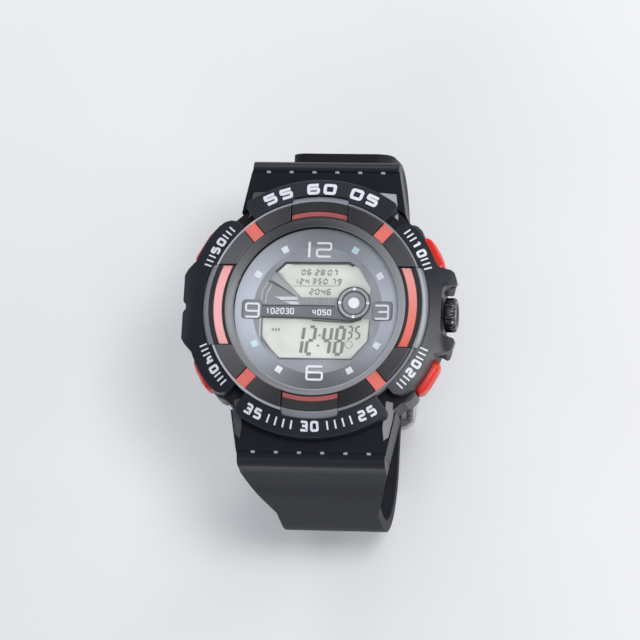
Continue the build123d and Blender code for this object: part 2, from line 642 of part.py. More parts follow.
with BuildPart() as strap_lower:
    with BuildSketch(Plane.YZ):
        with BuildLine():
            offset(side_path(-1, LONG_FLOOR, -13), amount=BAND_THICK / 2, side=Side.BOTH)
        make_face()
    extrude(amount=BEND_HALF, both=True)
    with BuildSketch(Plane.XZ):
        add(taper_outline())
    extrude(amount=60, both=True, mode=Mode.INTERSECT)
    # Through the buckle the band steps outwards, then lies on the short strap as far as its tip
    tail_radius = corner_radius(SHORT_FLOOR) + (SHORT_FLOOR - TAIL_FLOOR)
    lean = math.radians(LEAN)
    tail_centre = (SIDE_FOOT[0] - corner_radius(SHORT_FLOOR) * math.cos(lean), TAIL_FLOOR + tail_radius)
    corner_end = (tail_centre[0] + tail_radius * math.cos(lean), tail_centre[1] + tail_radius * math.sin(lean))
    with BuildLine() as tail_path:
        step_start = (-14.0, LONG_FLOOR)
        step_end = (-0.5, TAIL_FLOOR)
        step_middle = ((step_start[0] + step_end[0]) / 2, (step_start[1] + step_end[1]) / 2)
        TangentArc(step_start, step_middle, tangent=(1, 0))
        TangentArc(step_end, step_middle, tangent=(-1, 0))
        Line(step_end, (tail_centre[0], TAIL_FLOOR))
        ThreePointArc(
            (tail_centre[0], TAIL_FLOOR),
            (tail_centre[0] + tail_radius * math.cos(math.radians(-45 - LEAN / 2)),
             tail_centre[1] + tail_radius * math.sin(math.radians(-45 - LEAN / 2))),
            corner_end,
        )
        Line(corner_end, (corner_end[0] - 13 * math.sin(lean), corner_end[1] + 13 * math.cos(lean)))
    with BuildSketch(Plane.YZ):
        with BuildLine():
            offset(tail_path.line, amount=TAIL_THICK / 2, side=Side.BOTH)
        make_face()
    extrude(amount=BAND_HALF, both=True)
    # Row of adjusting holes
    with BuildSketch(Plane.XY.offset(TAIL_FLOOR - 2)):
        with Locations(*[(0, PRONG_HOLE + step * HOLE_PITCH) for step in range(-2, 4)]):
            Rectangle(2.4, 4.2)
    extrude(amount=6, mode=Mode.SUBTRACT)
    add(lower_root)
finish(strap_lower, "strap_lower")

# Strap pins: one through the lugs at each end, one through the buckle
for label, side in (("strap_pin_upper", 1), ("strap_pin_lower", -1)):
    with BuildPart() as strap_pin:
        with BuildSketch(Plane.YZ.offset(-LUG_X[1])):
            with Locations((side * LUG_BAR[0], LUG_BAR[1])):
                RegularPolygon(PIN_R, ROD_SIDES)
        extrude(amount=2 * LUG_X[1])
    finish(strap_pin, label)

BUCKLE_HALF = 10.9       # inside half width of the buckle frame
ARM_WIDE = 1.8
with BuildPart() as buckle_pin:
    with BuildSketch(Plane.YZ):
        with Locations(BUCKLE_BAR):
            RegularPolygon(BAR_PIN_R, ROD_SIDES)
    extrude(amount=BUCKLE_HALF + ARM_WIDE - 0.2, both=True)
finish(buckle_pin, "buckle_pin")

with BuildPart() as buckle_frame:
    for side in (1, -1):
        with BuildSketch(Plane.YZ.offset(side * (BUCKLE_HALF + ARM_WIDE / 2))):
            with Locations(BUCKLE_BAR):
                RegularPolygon(1.5, ROD_SIDES)
            with Locations(FAR_BAR):
                RegularPolygon(FAR_BAR_R, ROD_SIDES)
            make_hull()
            with Locations(BUCKLE_BAR):
                RegularPolygon(BAR_PIN_R + 0.02, ROD_SIDES, mode=Mode.SUBTRACT)
        extrude(amount=ARM_WIDE / 2, both=True)
    with BuildSketch(Plane.YZ):
        with Locations(FAR_BAR):
            RegularPolygon(FAR_BAR_R, ROD_SIDES)
    extrude(amount=BUCKLE_HALF, both=True)
    with BuildSketch(Plane.XY.offset(FAR_BAR[1] - FAR_BAR_R)):
        with Locations((0, FAR_BAR[0])):
            Rectangle(2.0, 4)
    extrude(amount=1.15, mode=Mode.SUBTRACT)
finish(buckle_frame, "buckle_frame")

with BuildPart() as buckle_prong:
    with BuildLine() as bent:
        Polyline(BUCKLE_BAR, (-0.6, -38.6), (-4.9, -42.7), (-6.2, -43.1), (-11.2, -43.15))
    with BuildSketch(Plane.YZ):
        with BuildLine():
            offset(bent.line, amount=0.45, side=Side.BOTH)
        make_face()
        with Locations(BUCKLE_BAR):
            RegularPolygon(1.25, ROD_SIDES)
            RegularPolygon(BAR_PIN_R + 0.05, ROD_SIDES, mode=Mode.SUBTRACT)
    extrude(amount=0.8, both=True)
finish(buckle_prong, "buckle_prong")

# Keeper: a loop round the short strap and the tail, on the level stretch beside the buckle
KEEPER_Y = (9.0, 15.0)
KEEPER_WALL = 1.2
keeper_low = TAIL_FLOOR - TAIL_THICK / 2 - 0.25
keeper_high = SHORT_FLOOR + BAND_THICK / 2 + 0.25
with BuildPart() as keeper_loop:
    with BuildSketch(Plane.XZ.offset(-KEEPER_Y[1])):
        with Locations((0, (keeper_low + keeper_high) / 2)):
            RectangleRounded(2 * BAND_HALF + 0.6 + 2 * KEEPER_WALL, keeper_high - keeper_low + 2 * KEEPER_WALL, 1.6)
            Rectangle(2 * BAND_HALF + 0.6, keeper_high - keeper_low, mode=Mode.SUBTRACT)
    extrude(amount=KEEPER_Y[1] - KEEPER_Y[0])
finish(keeper_loop, "keeper_loop")
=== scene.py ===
import math

import bmesh
import bpy
from mathutils import Matrix, Vector


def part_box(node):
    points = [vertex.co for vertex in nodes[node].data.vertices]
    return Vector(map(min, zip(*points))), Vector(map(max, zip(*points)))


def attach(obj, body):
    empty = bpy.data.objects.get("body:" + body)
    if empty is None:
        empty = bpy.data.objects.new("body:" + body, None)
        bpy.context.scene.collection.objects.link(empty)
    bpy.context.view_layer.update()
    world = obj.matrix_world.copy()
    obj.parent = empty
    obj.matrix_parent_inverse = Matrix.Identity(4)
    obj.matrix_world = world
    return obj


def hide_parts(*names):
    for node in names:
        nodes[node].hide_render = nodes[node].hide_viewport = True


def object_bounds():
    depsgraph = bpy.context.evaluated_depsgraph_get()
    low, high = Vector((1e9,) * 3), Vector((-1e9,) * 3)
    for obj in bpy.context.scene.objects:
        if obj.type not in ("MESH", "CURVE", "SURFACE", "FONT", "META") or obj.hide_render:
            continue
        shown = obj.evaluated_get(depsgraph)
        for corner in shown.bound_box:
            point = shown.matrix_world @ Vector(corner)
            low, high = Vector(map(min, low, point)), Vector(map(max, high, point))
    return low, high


# Looks of a digital sports watch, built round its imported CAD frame.
# Sizes below are millimetres in the frame's own axes: +Z out through the crystal,
# +Y to 12 o'clock, +X to 3 o'clock. MM turns them into Blender's metres.
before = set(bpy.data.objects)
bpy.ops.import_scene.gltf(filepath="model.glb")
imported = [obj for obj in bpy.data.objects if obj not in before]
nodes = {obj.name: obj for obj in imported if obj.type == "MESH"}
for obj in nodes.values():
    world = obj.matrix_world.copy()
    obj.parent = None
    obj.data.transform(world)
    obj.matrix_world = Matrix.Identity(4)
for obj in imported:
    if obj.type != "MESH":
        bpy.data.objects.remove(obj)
cad_low, cad_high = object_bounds()
MM = 0.001


def node_box(name):
    """Lowest and highest corner of a CAD node, in millimetres."""
    low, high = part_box(name)
    return low / MM, high / MM


# Heights and radii that the pieces share, read from the frame
ring_high = node_box("bezel_ring")[1]
PAD_TOP = ring_high.z
RING_TOP = PAD_TOP - 0.4
TAB_R = ring_high.x
RING_R = TAB_R - 0.8
BEVEL_R = RING_R - 0.5
EYE_R = RING_R - 5.1
CONE_R = RING_R - 3.75
RING_FLOOR = 12.9
DIAL_TOP = node_box("dial_plate")[1].z
DIAL_R = node_box("dial_plate")[1].x
LCD_TOP = node_box("lcd_glass")[1].z
shell_low, shell_high = node_box("bezel_shell")
GUARD_X = shell_high.x
LOBE_X = -shell_low.x
SHELL_R = shell_high.y
SHELL_TOP = shell_high.z
CASE_R = 24.4
BACK_R = node_box("case_back")[1].x
crown_low, crown_high = node_box("crown")
CROWN_Z = (crown_low.z + crown_high.z) / 2
PUSHER_NAMES = ("start", "light", "mode", "reset")
CAP_HALF = 1.5


def pusher_place(name):
    """Angle, outer radius and height of a pusher's cap."""
    low, high = node_box(f"{name}_cap")
    middle = (low + high) / 2
    return math.degrees(math.atan2(middle.y, middle.x)), middle.xy.length + CAP_HALF, middle.z


# Materials
def feed(tree, node, inputs):
    """Set inputs of a node to plain values, or link them to an output, or to another node's first output."""
    for socket, value in inputs.items():
        if isinstance(value, bpy.types.Node):
            value = value.outputs[0]
        if isinstance(value, bpy.types.NodeSocket):
            tree.links.new(value, node.inputs[socket])
        else:
            node.inputs[socket].default_value = value


def add_node(tree, kind, inputs, operation=None):
    node = tree.nodes.new(kind)
    if operation:
        node.operation = operation
    feed(tree, node, inputs)
    return node


def new_material(name, color, roughness, metallic=0.0):
    material = bpy.data.materials.new(name)
    material.use_nodes = True
    tree = material.node_tree
    shader = tree.nodes["Principled BSDF"]
    feed(tree, shader, {"Base Color": (*color, 1), "Roughness": roughness, "Metallic": metallic})
    return material, tree, shader


def on_piece(tree):
    """Coordinates fixed to the piece."""
    return add_node(tree, "ShaderNodeTexCoord", {}).outputs["Object"]


def noise_at(tree, grain, detail=3.0, stretch=(1, 1, 1)):
    """Noise whose grains are about this many millimetres across."""
    place = add_node(tree, "ShaderNodeMapping", {"Vector": on_piece(tree), "Scale": stretch})
    return add_node(tree, "ShaderNodeTexNoise", {"Vector": place, "Scale": 1 / (grain * MM), "Detail": detail})


def along_axis(tree, axis, low, high, first=0.0, last=1.0):
    """A value that runs from first to last between two places on an axis, in millimetres."""
    split = add_node(tree, "ShaderNodeSeparateXYZ", {"Vector": on_piece(tree)})
    return add_node(tree, "ShaderNodeMapRange", {"Value": split.outputs[axis], "From Min": low * MM,
                                                 "From Max": high * MM, "To Min": first, "To Max": last})


def ramp_of(tree, value, stops):
    """A colour ramp over value; stops are (position, colour)."""
    ramp = add_node(tree, "ShaderNodeValToRGB", {"Fac": value})
    elements = ramp.color_ramp.elements
    for element, (position, color) in zip(elements, stops[:2]):
        element.position = position
        element.color = (*color, 1)
    for position, color in stops[2:]:
        elements.new(position).color = (*color, 1)
    return ramp


def grey(level):
    return (level, level, level)


def vary_color(tree, shader, color, grain, spread):
    """Colour that drifts a little darker and lighter over the surface."""
    dark = [c * (1 - spread) for c in color]
    light = [min(1.0, c * (1 + spread)) for c in color]
    feed(tree, shader, {"Base Color": ramp_of(tree, noise_at(tree, grain), [(0.3, dark), (0.7, light)])})


def vary_roughness(tree, shader, low, high, noise):
    feed(tree, shader, {"Roughness": ramp_of(tree, noise, [(0.3, grey(low)), (0.7, grey(high))])})


def add_bump(tree, shader, height, depth):
    """Bump from a height, depth millimetres deep."""
    bump = add_node(tree, "ShaderNodeBump", {"Strength": 1.0, "Distance": depth * MM, "Height": height})
    feed(tree, shader, {"Normal": bump})


DRIFT_GRAIN = 6.0
DRIFT = 0.12


def moulded(name, color, roughness, grain=0.18, depth=0.006, coat=0.0, gloss=0.5):
    """Moulded plastic or resin: faint colour drift, uneven gloss and a fine mould grain."""
    material, tree, shader = new_material(name, color, roughness)
    vary_color(tree, shader, color, DRIFT_GRAIN, DRIFT)
    vary_roughness(tree, shader, roughness - 0.02, roughness + 0.04, noise_at(tree, 3.0, 5.0))
    add_bump(tree, shader, noise_at(tree, grain), depth)
    feed(tree, shader, {"Specular IOR Level": gloss, "Coat Weight": coat, "Coat Roughness": 0.08})
    return material


def brushed(name, color, roughness, stretch=(1, 0.03, 1)):
    """Metal with fine brush marks along one axis."""
    material, tree, shader = new_material(name, color, roughness, 1.0)
    marks = noise_at(tree, 0.08, 2.0, stretch)
    vary_roughness(tree, shader, roughness - 0.08, roughness + 0.12, marks)
    add_bump(tree, shader, marks, 0.004)
    return material


def printed(name, color, roughness=0.45):
    """Printed ink: nearly even, with a slight thinning."""
    material, tree, shader = new_material(name, color, roughness)
    vary_color(tree, shader, color, 0.5, 0.05)
    add_bump(tree, shader, noise_at(tree, 0.1), 0.002)
    return material


def clear_crystal():
    """Clear mineral glass; light for the dial passes straight through and counts once."""
    material, tree, shader = new_material("crystal_glass", (1, 1, 1), 0.02)
    feed(tree, shader, {"Transmission Weight": 1.0, "IOR": 1.46})
    add_bump(tree, shader, noise_at(tree, 9.0, 1.0), 0.002)
    path = add_node(tree, "ShaderNodeLightPath", {})
    passing = {0: path.outputs["Is Shadow Ray"], 1: path.outputs["Is Diffuse Ray"]}
    straight = add_node(tree, "ShaderNodeMath", passing, "MAXIMUM")
    clear = add_node(tree, "ShaderNodeBsdfTransparent", {})
    mix = add_node(tree, "ShaderNodeMixShader", {"Fac": straight, 1: shader, 2: clear})
    feed(tree, tree.nodes["Material Output"], {"Surface": mix})
    return material


def painted_reflection_grey(name, level, across, toward_3, toward_12, roughness, tint=(0.84, 0.89, 1.0)):
    """Grey with painted reflection: base colour lighter or darker by direction from the dial's centre."""
    material, tree, shader = new_material(name, grey(level), roughness)
    flat = add_node(tree, "ShaderNodeMapping", {"Vector": on_piece(tree), "Scale": (1, 1, 0)})
    direction = add_node(tree, "ShaderNodeVectorMath", {0: flat}, "NORMALIZE")
    split = add_node(tree, "ShaderNodeSeparateXYZ", {"Vector": direction})
    x = split.outputs["X"]
    square = add_node(tree, "ShaderNodeMath", {0: x, 1: x}, "MULTIPLY")
    terms = add_node(tree, "ShaderNodeCombineXYZ", {"X": square, "Y": x, "Z": split.outputs["Y"]})
    weigh = add_node(tree, "ShaderNodeVectorMath", {0: terms, 1: (across, toward_3, toward_12)}, "DOT_PRODUCT")
    total = add_node(tree, "ShaderNodeMath", {0: weigh.outputs["Value"], 1: level}, "ADD")
    feed(tree, shader, {"Base Color": ramp_of(tree, total, [(0.0, grey(0.0)), (1.0, tint)])})
    add_bump(tree, shader, noise_at(tree, 0.15), 0.002)
    return material


def painted_highlight_coral(name, stops):
    """Glossy coral lacquer with painted highlight: colour from 6 o'clock (0) to 12 o'clock (1), paler where
    light reflects.
    """
    material, tree, shader = new_material(name, stops[0][1], 0.32)
    feed(tree, shader, {"Coat Weight": 0.5, "Base Color": ramp_of(tree, along_axis(tree, "Y", -10, 10), stops)})
    add_bump(tree, shader, noise_at(tree, 0.5), 0.003)
    return material


def strap_resin(color):
    """Satin resin that is smoother on top, where it is handled, than down the sides."""
    material, tree, shader = new_material("navy_strap", color, 0.40)
    vary_color(tree, shader, color, DRIFT_GRAIN, DRIFT)
    add_bump(tree, shader, noise_at(tree, 0.25), 0.006)
    feed(tree, shader, {"Specular IOR Level": 0.25, "Roughness": along_axis(tree, "Z", -2, 6, 0.62, 0.38)})
    return material


def circuit():
    """Green board with paler copper traces under its lacquer."""
    color = (0.01, 0.12, 0.05)
    material, tree, shader = new_material("circuit_green", color, 0.35)
    bricks = add_node(tree, "ShaderNodeTexBrick", {
        "Vector": on_piece(tree), "Scale": 1 / (4 * MM), "Color1": (*color, 1), "Color2": (0.012, 0.15, 0.06, 1),
        "Mortar": (0.05, 0.3, 0.12, 1),
    })
    feed(tree, shader, {"Base Color": bricks})
    return material


BLACK = moulded("black_resin", (0.008, 0.008, 0.011), 0.42, gloss=0.3)
SHOULDER = moulded("case_shoulder", (0.040, 0.042, 0.050), 0.36)
RING_BLACK = moulded("ring_black", (0.016, 0.016, 0.018), 0.36, coat=0.1)
# Painted reflection: pads, cone, eye line and ring edge change base colour round the ring, standing in for the
# lamps' reflections.
PAD_BLACK_SHEEN = painted_reflection_grey("pad_black_painted_sheen", 0.006, 0.085, -0.022, 0.008, 0.40, (0.92, 0.92, 1.0))
CONE_GREY_SHEEN = painted_reflection_grey("cone_grey_painted_sheen", 0.11, 0.17, 0.10, -0.07, 0.34, (0.95, 0.95, 1.0))
EYE_GLINT = painted_reflection_grey("eye_line_painted_highlight", 0.24, 0.10, 0.16, -0.16, 0.34, (0.95, 0.97, 1.0))
EDGE_GLINT_GREY = painted_reflection_grey("ring_edge_painted_highlight", 0.27, 0.20, -0.26, 0.0, 0.32, (0.92, 0.94, 1.0))
NAVY_SHELL = moulded("navy_shell", (0.007, 0.008, 0.015), 0.34, gloss=0.4)
NAVY = strap_resin((0.006, 0.007, 0.013))
NUB_GREY = moulded("strap_nub", (0.34, 0.34, 0.37), 0.40)
# Painted highlights: light grey patches on the strap's shoulders, palest at the upper right, faint on the left.
EAR_BRIGHT_HIGHLIGHT = moulded("strap_ear_painted_highlight", (0.32, 0.32, 0.335), 0.34, grain=0.25)
EAR_DIM_HIGHLIGHT = moulded("strap_ear_painted_dim_highlight", (0.13, 0.132, 0.145), 0.36, grain=0.25)
EAR_FAINT_HIGHLIGHT = moulded("strap_ear", (0.06, 0.062, 0.072), 0.38, grain=0.25)
GUN = moulded("gunmetal_lacquer", (0.17, 0.176, 0.20), 0.28, depth=0.003, coat=0.4)
CROWN_BLACK = moulded("crown_black", (0.010, 0.010, 0.011), 0.16, depth=0.003, coat=0.6)
CORAL = moulded("coral_inlay", (0.70, 0.150, 0.125), 0.32, depth=0.003, coat=0.5)
# Painted highlight: side inlays are paler and pinker where light reflects; east is red at 6 o'clock turning pink
# towards 12, west is pink all along.
EAST_CORAL_HIGHLIGHT = painted_highlight_coral("east_inlay_painted_highlight", [(0.0, (0.70, 0.085, 0.050)), (0.35, (0.76, 0.19, 0.15)),
                                      (0.75, (0.80, 0.30, 0.28)), (1.0, (0.82, 0.34, 0.32))])
WEST_CORAL_HIGHLIGHT = painted_highlight_coral("west_inlay_painted_highlight", [(0.0, (0.82, 0.36, 0.34)), (0.3, (0.88, 0.43, 0.43)),
                                      (0.7, (0.88, 0.42, 0.42)), (1.0, (0.84, 0.34, 0.33))])
SIDE_CORALS = {0: EAST_CORAL_HIGHLIGHT, 180: WEST_CORAL_HIGHLIGHT}
END_CORAL = moulded("end_inlay", (0.36, 0.085, 0.080), 0.32, depth=0.003, coat=0.3)
RED = moulded("red_cap", (0.66, 0.016, 0.004), 0.26, depth=0.003, gloss=0.4)
DIAL = moulded("dial_grey", (0.305, 0.318, 0.35), 0.34, depth=0.002)
# Painted reflection: the dial ring's grey is lighter to the sides and changes round the ring.
DIAL_RING_SHEEN = painted_reflection_grey("dial_ring_painted_sheen", 0.20, 0.44, -0.04, 0.05, 0.30)
DIAL_FIELD = moulded("dial_field", (0.24, 0.25, 0.28), 0.36, depth=0.002)
# Painted shade: dark grey for the ring inside the sub-dial's band, where shadow falls.
SUBDIAL_PAINTED_SHADE = moulded("subdial_painted_shade", (0.048, 0.050, 0.058), 0.40, depth=0.002, gloss=0.3)
BAND_GREY = moulded("band_grey", (0.14, 0.145, 0.16), 0.38, depth=0.002)
RIM_GREY = moulded("rim_grey", (0.41, 0.415, 0.435), 0.34, depth=0.002)
FAN_GREY = moulded("fan_grey", (0.265, 0.272, 0.286), 0.36, depth=0.002)
RIDGE_GREY = moulded("ridge_grey", (0.375, 0.378, 0.375), 0.32, depth=0.002)
STRIP_GREY = moulded("strip_grey", (0.28, 0.285, 0.296), 0.34, depth=0.002)
PALE_GREY = printed("pale_grey_print", (0.63, 0.645, 0.67))
WHITE = printed("white_print", (0.66, 0.68, 0.74))
DIAL_WHITE = printed("dial_white_print", (0.84, 0.86, 0.90))
PALE_BLUE = printed("pale_blue_print", (0.60, 0.80, 0.88))
# Dark ink, used for print and for painted shadow lines along the windows' top edges.
INK_AND_PAINTED_SHADOW = printed("window_edge", (0.03, 0.031, 0.034), 0.5)
DIGIT_INK = printed("display_digit", (0.21, 0.222, 0.20), 0.5)
FAINT_INK = printed("display_faint", (0.33, 0.345, 0.32), 0.5)
DISPLAY = moulded("display_face", (0.74, 0.755, 0.69), 0.30, depth=0.001)
PLASTIC = moulded("module_plastic", (0.35, 0.35, 0.33), 0.45)
LIGHT_GUIDE = moulded("light_guide", (0.72, 0.78, 0.80), 0.20)
RUBBER = moulded("rubber", (0.02, 0.02, 0.02), 0.6, grain=0.3)
CHIP = moulded("chip_epoxy", (0.012, 0.012, 0.012), 0.30)
SMALL_PARTS = moulded("small_parts", (0.30, 0.22, 0.14), 0.35)
BOARD = circuit()
STEEL = brushed("bright_steel", (0.62, 0.62, 0.63), 0.24)
BUCKLE = brushed("buckle_steel", (0.52, 0.52, 0.53), 0.30, (0.04, 1, 1))
BACK_STEEL = brushed("back_steel", (0.56, 0.56, 0.57), 0.30, (0.04, 1, 1))
BRASS = brushed("brass", (0.75, 0.55, 0.26), 0.28)
GLASS = clear_crystal()


# Mesh building
def add_object(name, data):
    made = bpy.data.objects.new(name, data)
    bpy.context.scene.collection.objects.link(made)
    return made


def piece_from(name, points, faces, material, slot, body="root", bevel=0.0, segments=2, sharp=32):
    """A mesh piece from points in millimetres, with rounded edges, riding on a body."""
    mesh = bpy.data.meshes.new(name)
    mesh.from_pydata([Vector(p) * MM for p in points], [], faces)
    shape = bmesh.new()
    shape.from_mesh(mesh)
    bmesh.ops.remove_doubles(shape, verts=shape.verts, dist=0.002 * MM)
    bmesh.ops.recalc_face_normals(shape, faces=shape.faces)
    shape.to_mesh(mesh)
    shape.free()
    mesh.shade_smooth()
    mesh.set_sharp_from_angle(angle=math.radians(sharp))
    mesh.materials.append(material)
    piece = add_object(name, mesh)
    if bevel:
        rounding = piece.modifiers.new("rounding", "BEVEL")
        rounding.width = bevel * MM
        rounding.segments = segments
        rounding.limit_method = "ANGLE"
        rounding.angle_limit = math.radians(sharp)
        rounding.harden_normals = True
    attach(piece, body)
    return piece


def polar(radius, degrees, height=0.0):
    angle = math.radians(degrees)
    return Vector((radius * math.cos(angle), radius * math.sin(angle), height))


def line_angle(edge, radius):
    """Angle at which a straight end crosses a radius; edge is (degrees, millimetres to its left)."""
    degrees, offset = edge
    return degrees + math.degrees(math.asin(offset / radius))


def loft(name, rings, material, closed=False, **looks):
    """A skin over rings of equally many points, each joined to the next; it has flat ends unless closed."""
    sides = len(rings[0])
    points = [spot for ring in rings for spot in ring]
    faces = [] if closed else [tuple(range(sides)), tuple(range(len(points) - sides, len(points)))]
    for k in range(len(rings) if closed else len(rings) - 1):
        near = k * sides
        far = (k + 1) % len(rings) * sides
        for i in range(sides):
            n = (i + 1) % sides
            faces.append((near + i, far + i, far + n, near + n))
    return piece_from(name, points, faces, material, **looks)


def turned(name, profile, material, start=None, end=None, step=2.0, centre=(0, 0), **looks):
    """A closed profile of (radius, height) turned about an upright axis, whole or between two straight ends."""
    whole = start is None
    if whole:
        start = (0, 0)
        end = (360, 0)
    reach = max(r for r, z in profile)
    count = max(3, round((line_angle(end, reach) - line_angle(start, reach)) / step))

    def spot(r, z, i):
        first = line_angle(start, r)
        return polar(r, first + (line_angle(end, r) - first) * i / count, z) + Vector((*centre, 0))

    rings = [[spot(r, z, i) for r, z in profile] for i in range(count if whole else count + 1)]
    return loft(name, rings, material, whole, **looks)


def slab(name, top, bottom, material, holes=(), **looks):
    """A solid between two grids of points of the same rows and columns, open at the hole cells."""
    columns = len(top[0])
    half = len(top) * columns
    points = [p for row in top for p in row] + [p for row in bottom for p in row]
    cells = [(i, j) for i in range(len(top) - 1) for j in range(columns - 1) if (i, j) not in holes]
    faces = []
    edges = set()
    for i, j in cells:
        corner = i * columns + j
        loop = (corner, corner + columns, corner + columns + 1, corner + 1)
        faces.append(loop)
        faces.append(tuple(v + half for v in reversed(loop)))
        edges.update(zip(loop, loop[1:] + loop[:1]))
    for a, b in edges:
        if (b, a) not in edges:
            faces.append((b, a, a + half, b + half))
    return piece_from(name, points, faces, material, **looks)


def prism(name, outline, low, high, material, foot=None, **looks):
    """An outline of (x, y) extruded between two heights, or drawn in to another outline at its foot."""
    rings = [[(x, y, low) for x, y in foot or outline], [(x, y, high) for x, y in outline]]
    return loft(name, rings, material, **looks)


def join(name, pieces):
    """One piece out of several that were made alike."""
    with bpy.context.temp_override(active_object=pieces[0], selected_editable_objects=pieces):
        bpy.ops.object.join()
    pieces[0].name = name
    return pieces[0]


def fillet(corners, radius, steps=4, closed=True):
    """A line through corners, each corner rounded to the radius or to what fits."""
    rounded = []
    count = len(corners)
    for k in range(count):
        here = Vector(corners[k])
        if not closed and k in (0, count - 1):
            rounded.append(here)
            continue
        before = Vector(corners[k - 1]) - here
        after = Vector(corners[(k + 1) % count]) - here
        turn = before.angle(after)
        cut = min(radius / math.tan(turn / 2), before.length * 0.49, after.length * 0.49)
        first = here + before.normalized() * cut
        last = here + after.normalized() * cut
        for i in range(steps + 1):
            t = i / steps
            rounded.append(first * (1 - t) ** 2 + here * 2 * t * (1 - t) + last * t * t)
    return rounded


def heading(line, k, closed=False):
    """Direction of a line at its point k."""
    before = line[k - 1] if closed or k else line[k]
    after = line[(k + 1) % len(line)] if closed or k < len(line) - 1 else line[k]
    return (after - before).normalized()


def carried(name, path, section, level, material, closed=False, **looks):
    """A section of (across, up) carried along a path in one plane; level is that plane's normal."""
    rings = []
    for k, here in enumerate(path):
        across = heading(path, k, closed).cross(level)
        rings.append([here + across * u + level * v for u, v in section])
    return loft(name, rings, material, closed, **looks)


def corners_of(left, right, low, high):
    return [(left, low), (right, low), (right, high), (left, high)]


def circle(radius, sides=24):
    return [polar(radius, 360 * k / sides).xy for k in range(sides)]


def rod(name, centre, radius, low, high, material, **looks):
    """A round rod along X, with its middle at centre (y, z)."""
    path = [Vector((low, *centre)), Vector((high, *centre))]
    return carried(name, path, circle(radius, 40), Vector((0, 0, 1)), material, **looks)


# Printed numerals: each digit in use is drawn by up to three strokes in a box 1 wide and 1 high
STROKES = {
    "0": [([(0, 0), (1, 0), (1, 1), (0, 1)], True)],
    "1": [([(0.2, 0.8), (0.55, 1), (0.55, 0)], False)],
    "2": [([(0, 1), (1, 1), (1, 0.52), (0, 0.52), (0, 0), (1, 0)], False)],
    "3": [([(0, 1), (1, 1), (1, 0.02), (1, 0), (0, 0)], False), ([(0.25, 0.52), (1, 0.52)], False)],
    "4": [([(0, 1), (0, 0.4), (1, 0.4)], False), ([(0.78, 1), (0.78, 0)], False)],
    "5": [([(1, 1), (-0.1, 1)], False), ([(0, 1), (0, 0.48)], False),
          ([(0, 0.56), (1, 0.56), (1, 0), (0, 0)], False)],
    "6": [([(1, 1), (0, 1), (0, 0), (1, 0), (1, 0.55), (0, 0.55)], False)],
    "9": [([(1, 0.45), (0, 0.45), (0, 1), (1, 1), (1, 0), (0, 0)], False)],
}


def ribbon(corners, width, place, thick, radius=0.1, closed=False):
    """Points and faces of a flat stroke along corners; place turns (x, y, z) into frame millimetres."""
    line = [Vector(p) for p in fillet(corners, radius, 4, closed)]
    count = len(line)
    points = []
    for k, here in enumerate(line):
        along = heading(line, k, closed)
        across = Vector((-along.y, along.x)) * width / 2
        for z in (0.0, thick):
            points += [place(*(here + across), z), place(*(here - across), z)]
    faces = []
    for k in range(count if closed else count - 1):
        a = 4 * k
        b = 4 * ((k + 1) % count)
        faces += [(a, b, b + 1, a + 1), (a + 2, a + 3, b + 3, b + 2)]
        faces += [(a, a + 2, b + 2, b), (a + 1, b + 1, b + 3, a + 3)]
    if not closed:
        last = 4 * (count - 1)
        faces += [(0, 1, 3, 2), (last, last + 2, last + 3, last + 1)]
    return points, faces


def strokes_piece(name, strokes, material, slot="dial_trim"):
    """One piece of many strokes, each (points, faces)."""
    points = []
    faces = []
    for stroke_points, stroke_faces in strokes:
        start = len(points)
        points += stroke_points
        faces += [tuple(v + start for v in face) for face in stroke_faces]
    piece_from(name, points, faces, material, slot)


def number_strokes(text, wide, high, gap, width, place, thick=0.08):
    """Strokes of a number centred on place's origin."""
    total = len(text) * wide + (len(text) - 1) * gap
    strokes = []
    for index, digit in enumerate(text):
        left = index * (wide + gap) - total / 2
        for corners, closed in STROKES[digit]:
            spots = [(left + width / 2 + x * (wide - width), (y - 0.5) * (high - width)) for x, y in corners]
            strokes.append(ribbon(spots, width, place, thick, high * 0.14, closed))
    return strokes


def flat_place(x, y, height, turn=0.0, slant=0.0):
    """Puts a drawing on a level face at (x, y), turned by degrees and slanted to the right."""
    angle = math.radians(turn)

    def place(u, v, w):
        u = u + v * slant
        return Vector((x + u * math.cos(angle) - v * math.sin(angle),
                       y + u * math.sin(angle) + v * math.cos(angle), height + w))

    return place


def curved_place(radius, degrees, surface, outward=True):
    """Puts a drawing on a ring, bent along it; tops point outwards, or else to the centre."""
    sign = 1 if outward else -1

    def place(u, v, w):
        r = radius + sign * v
        spot = polar(r, degrees - sign * math.degrees(u / radius))
        return Vector((spot.x, spot.y, surface(spot.x, spot.y) + w))

    return place


def surface_place(x, y, surface, lift=0.0):
    """Puts a drawing at (x, y) on a face whose height is a function of the spot."""

    def place(u, v, w):
        return Vector((x + u, y + v, surface(x + u, y + v) + lift + w))

    return place


# CAD nodes that stay in view or lie inside
def paint(node, material):
    target = nodes[node]
    target.data.materials.clear()
    target.data.materials.append(material)


def paint_nodes():
    looks = {
        BLACK: ["case_body"],
        GLASS: ["crystal"],
        DISPLAY: ["lcd_glass"],
        LIGHT_GUIDE: ["backlight_panel", "backlight_led"],
        RUBBER: ["zebra_strips", "back_gasket"],
        PLASTIC: ["module_frame", "battery_holder"],
        BOARD: ["circuit_board"],
        CHIP: ["chip"],
        SMALL_PARTS: ["smd_parts"],
        BRASS: ["buzzer_disc"],
        STEEL: ["quartz_crystal", "battery", "battery_clip", "crown_stem", "strap_pin_upper",
                "strap_pin_lower", "buckle_pin"],
        DIAL: ["dial_plate"],
    }
    for name in PUSHER_NAMES:
        looks[STEEL] += [f"{name}_stem", f"{name}_clip", f"{name}_leaf_spring"]
    for material, names in looks.items():
        for name in names:
            paint(name, material)


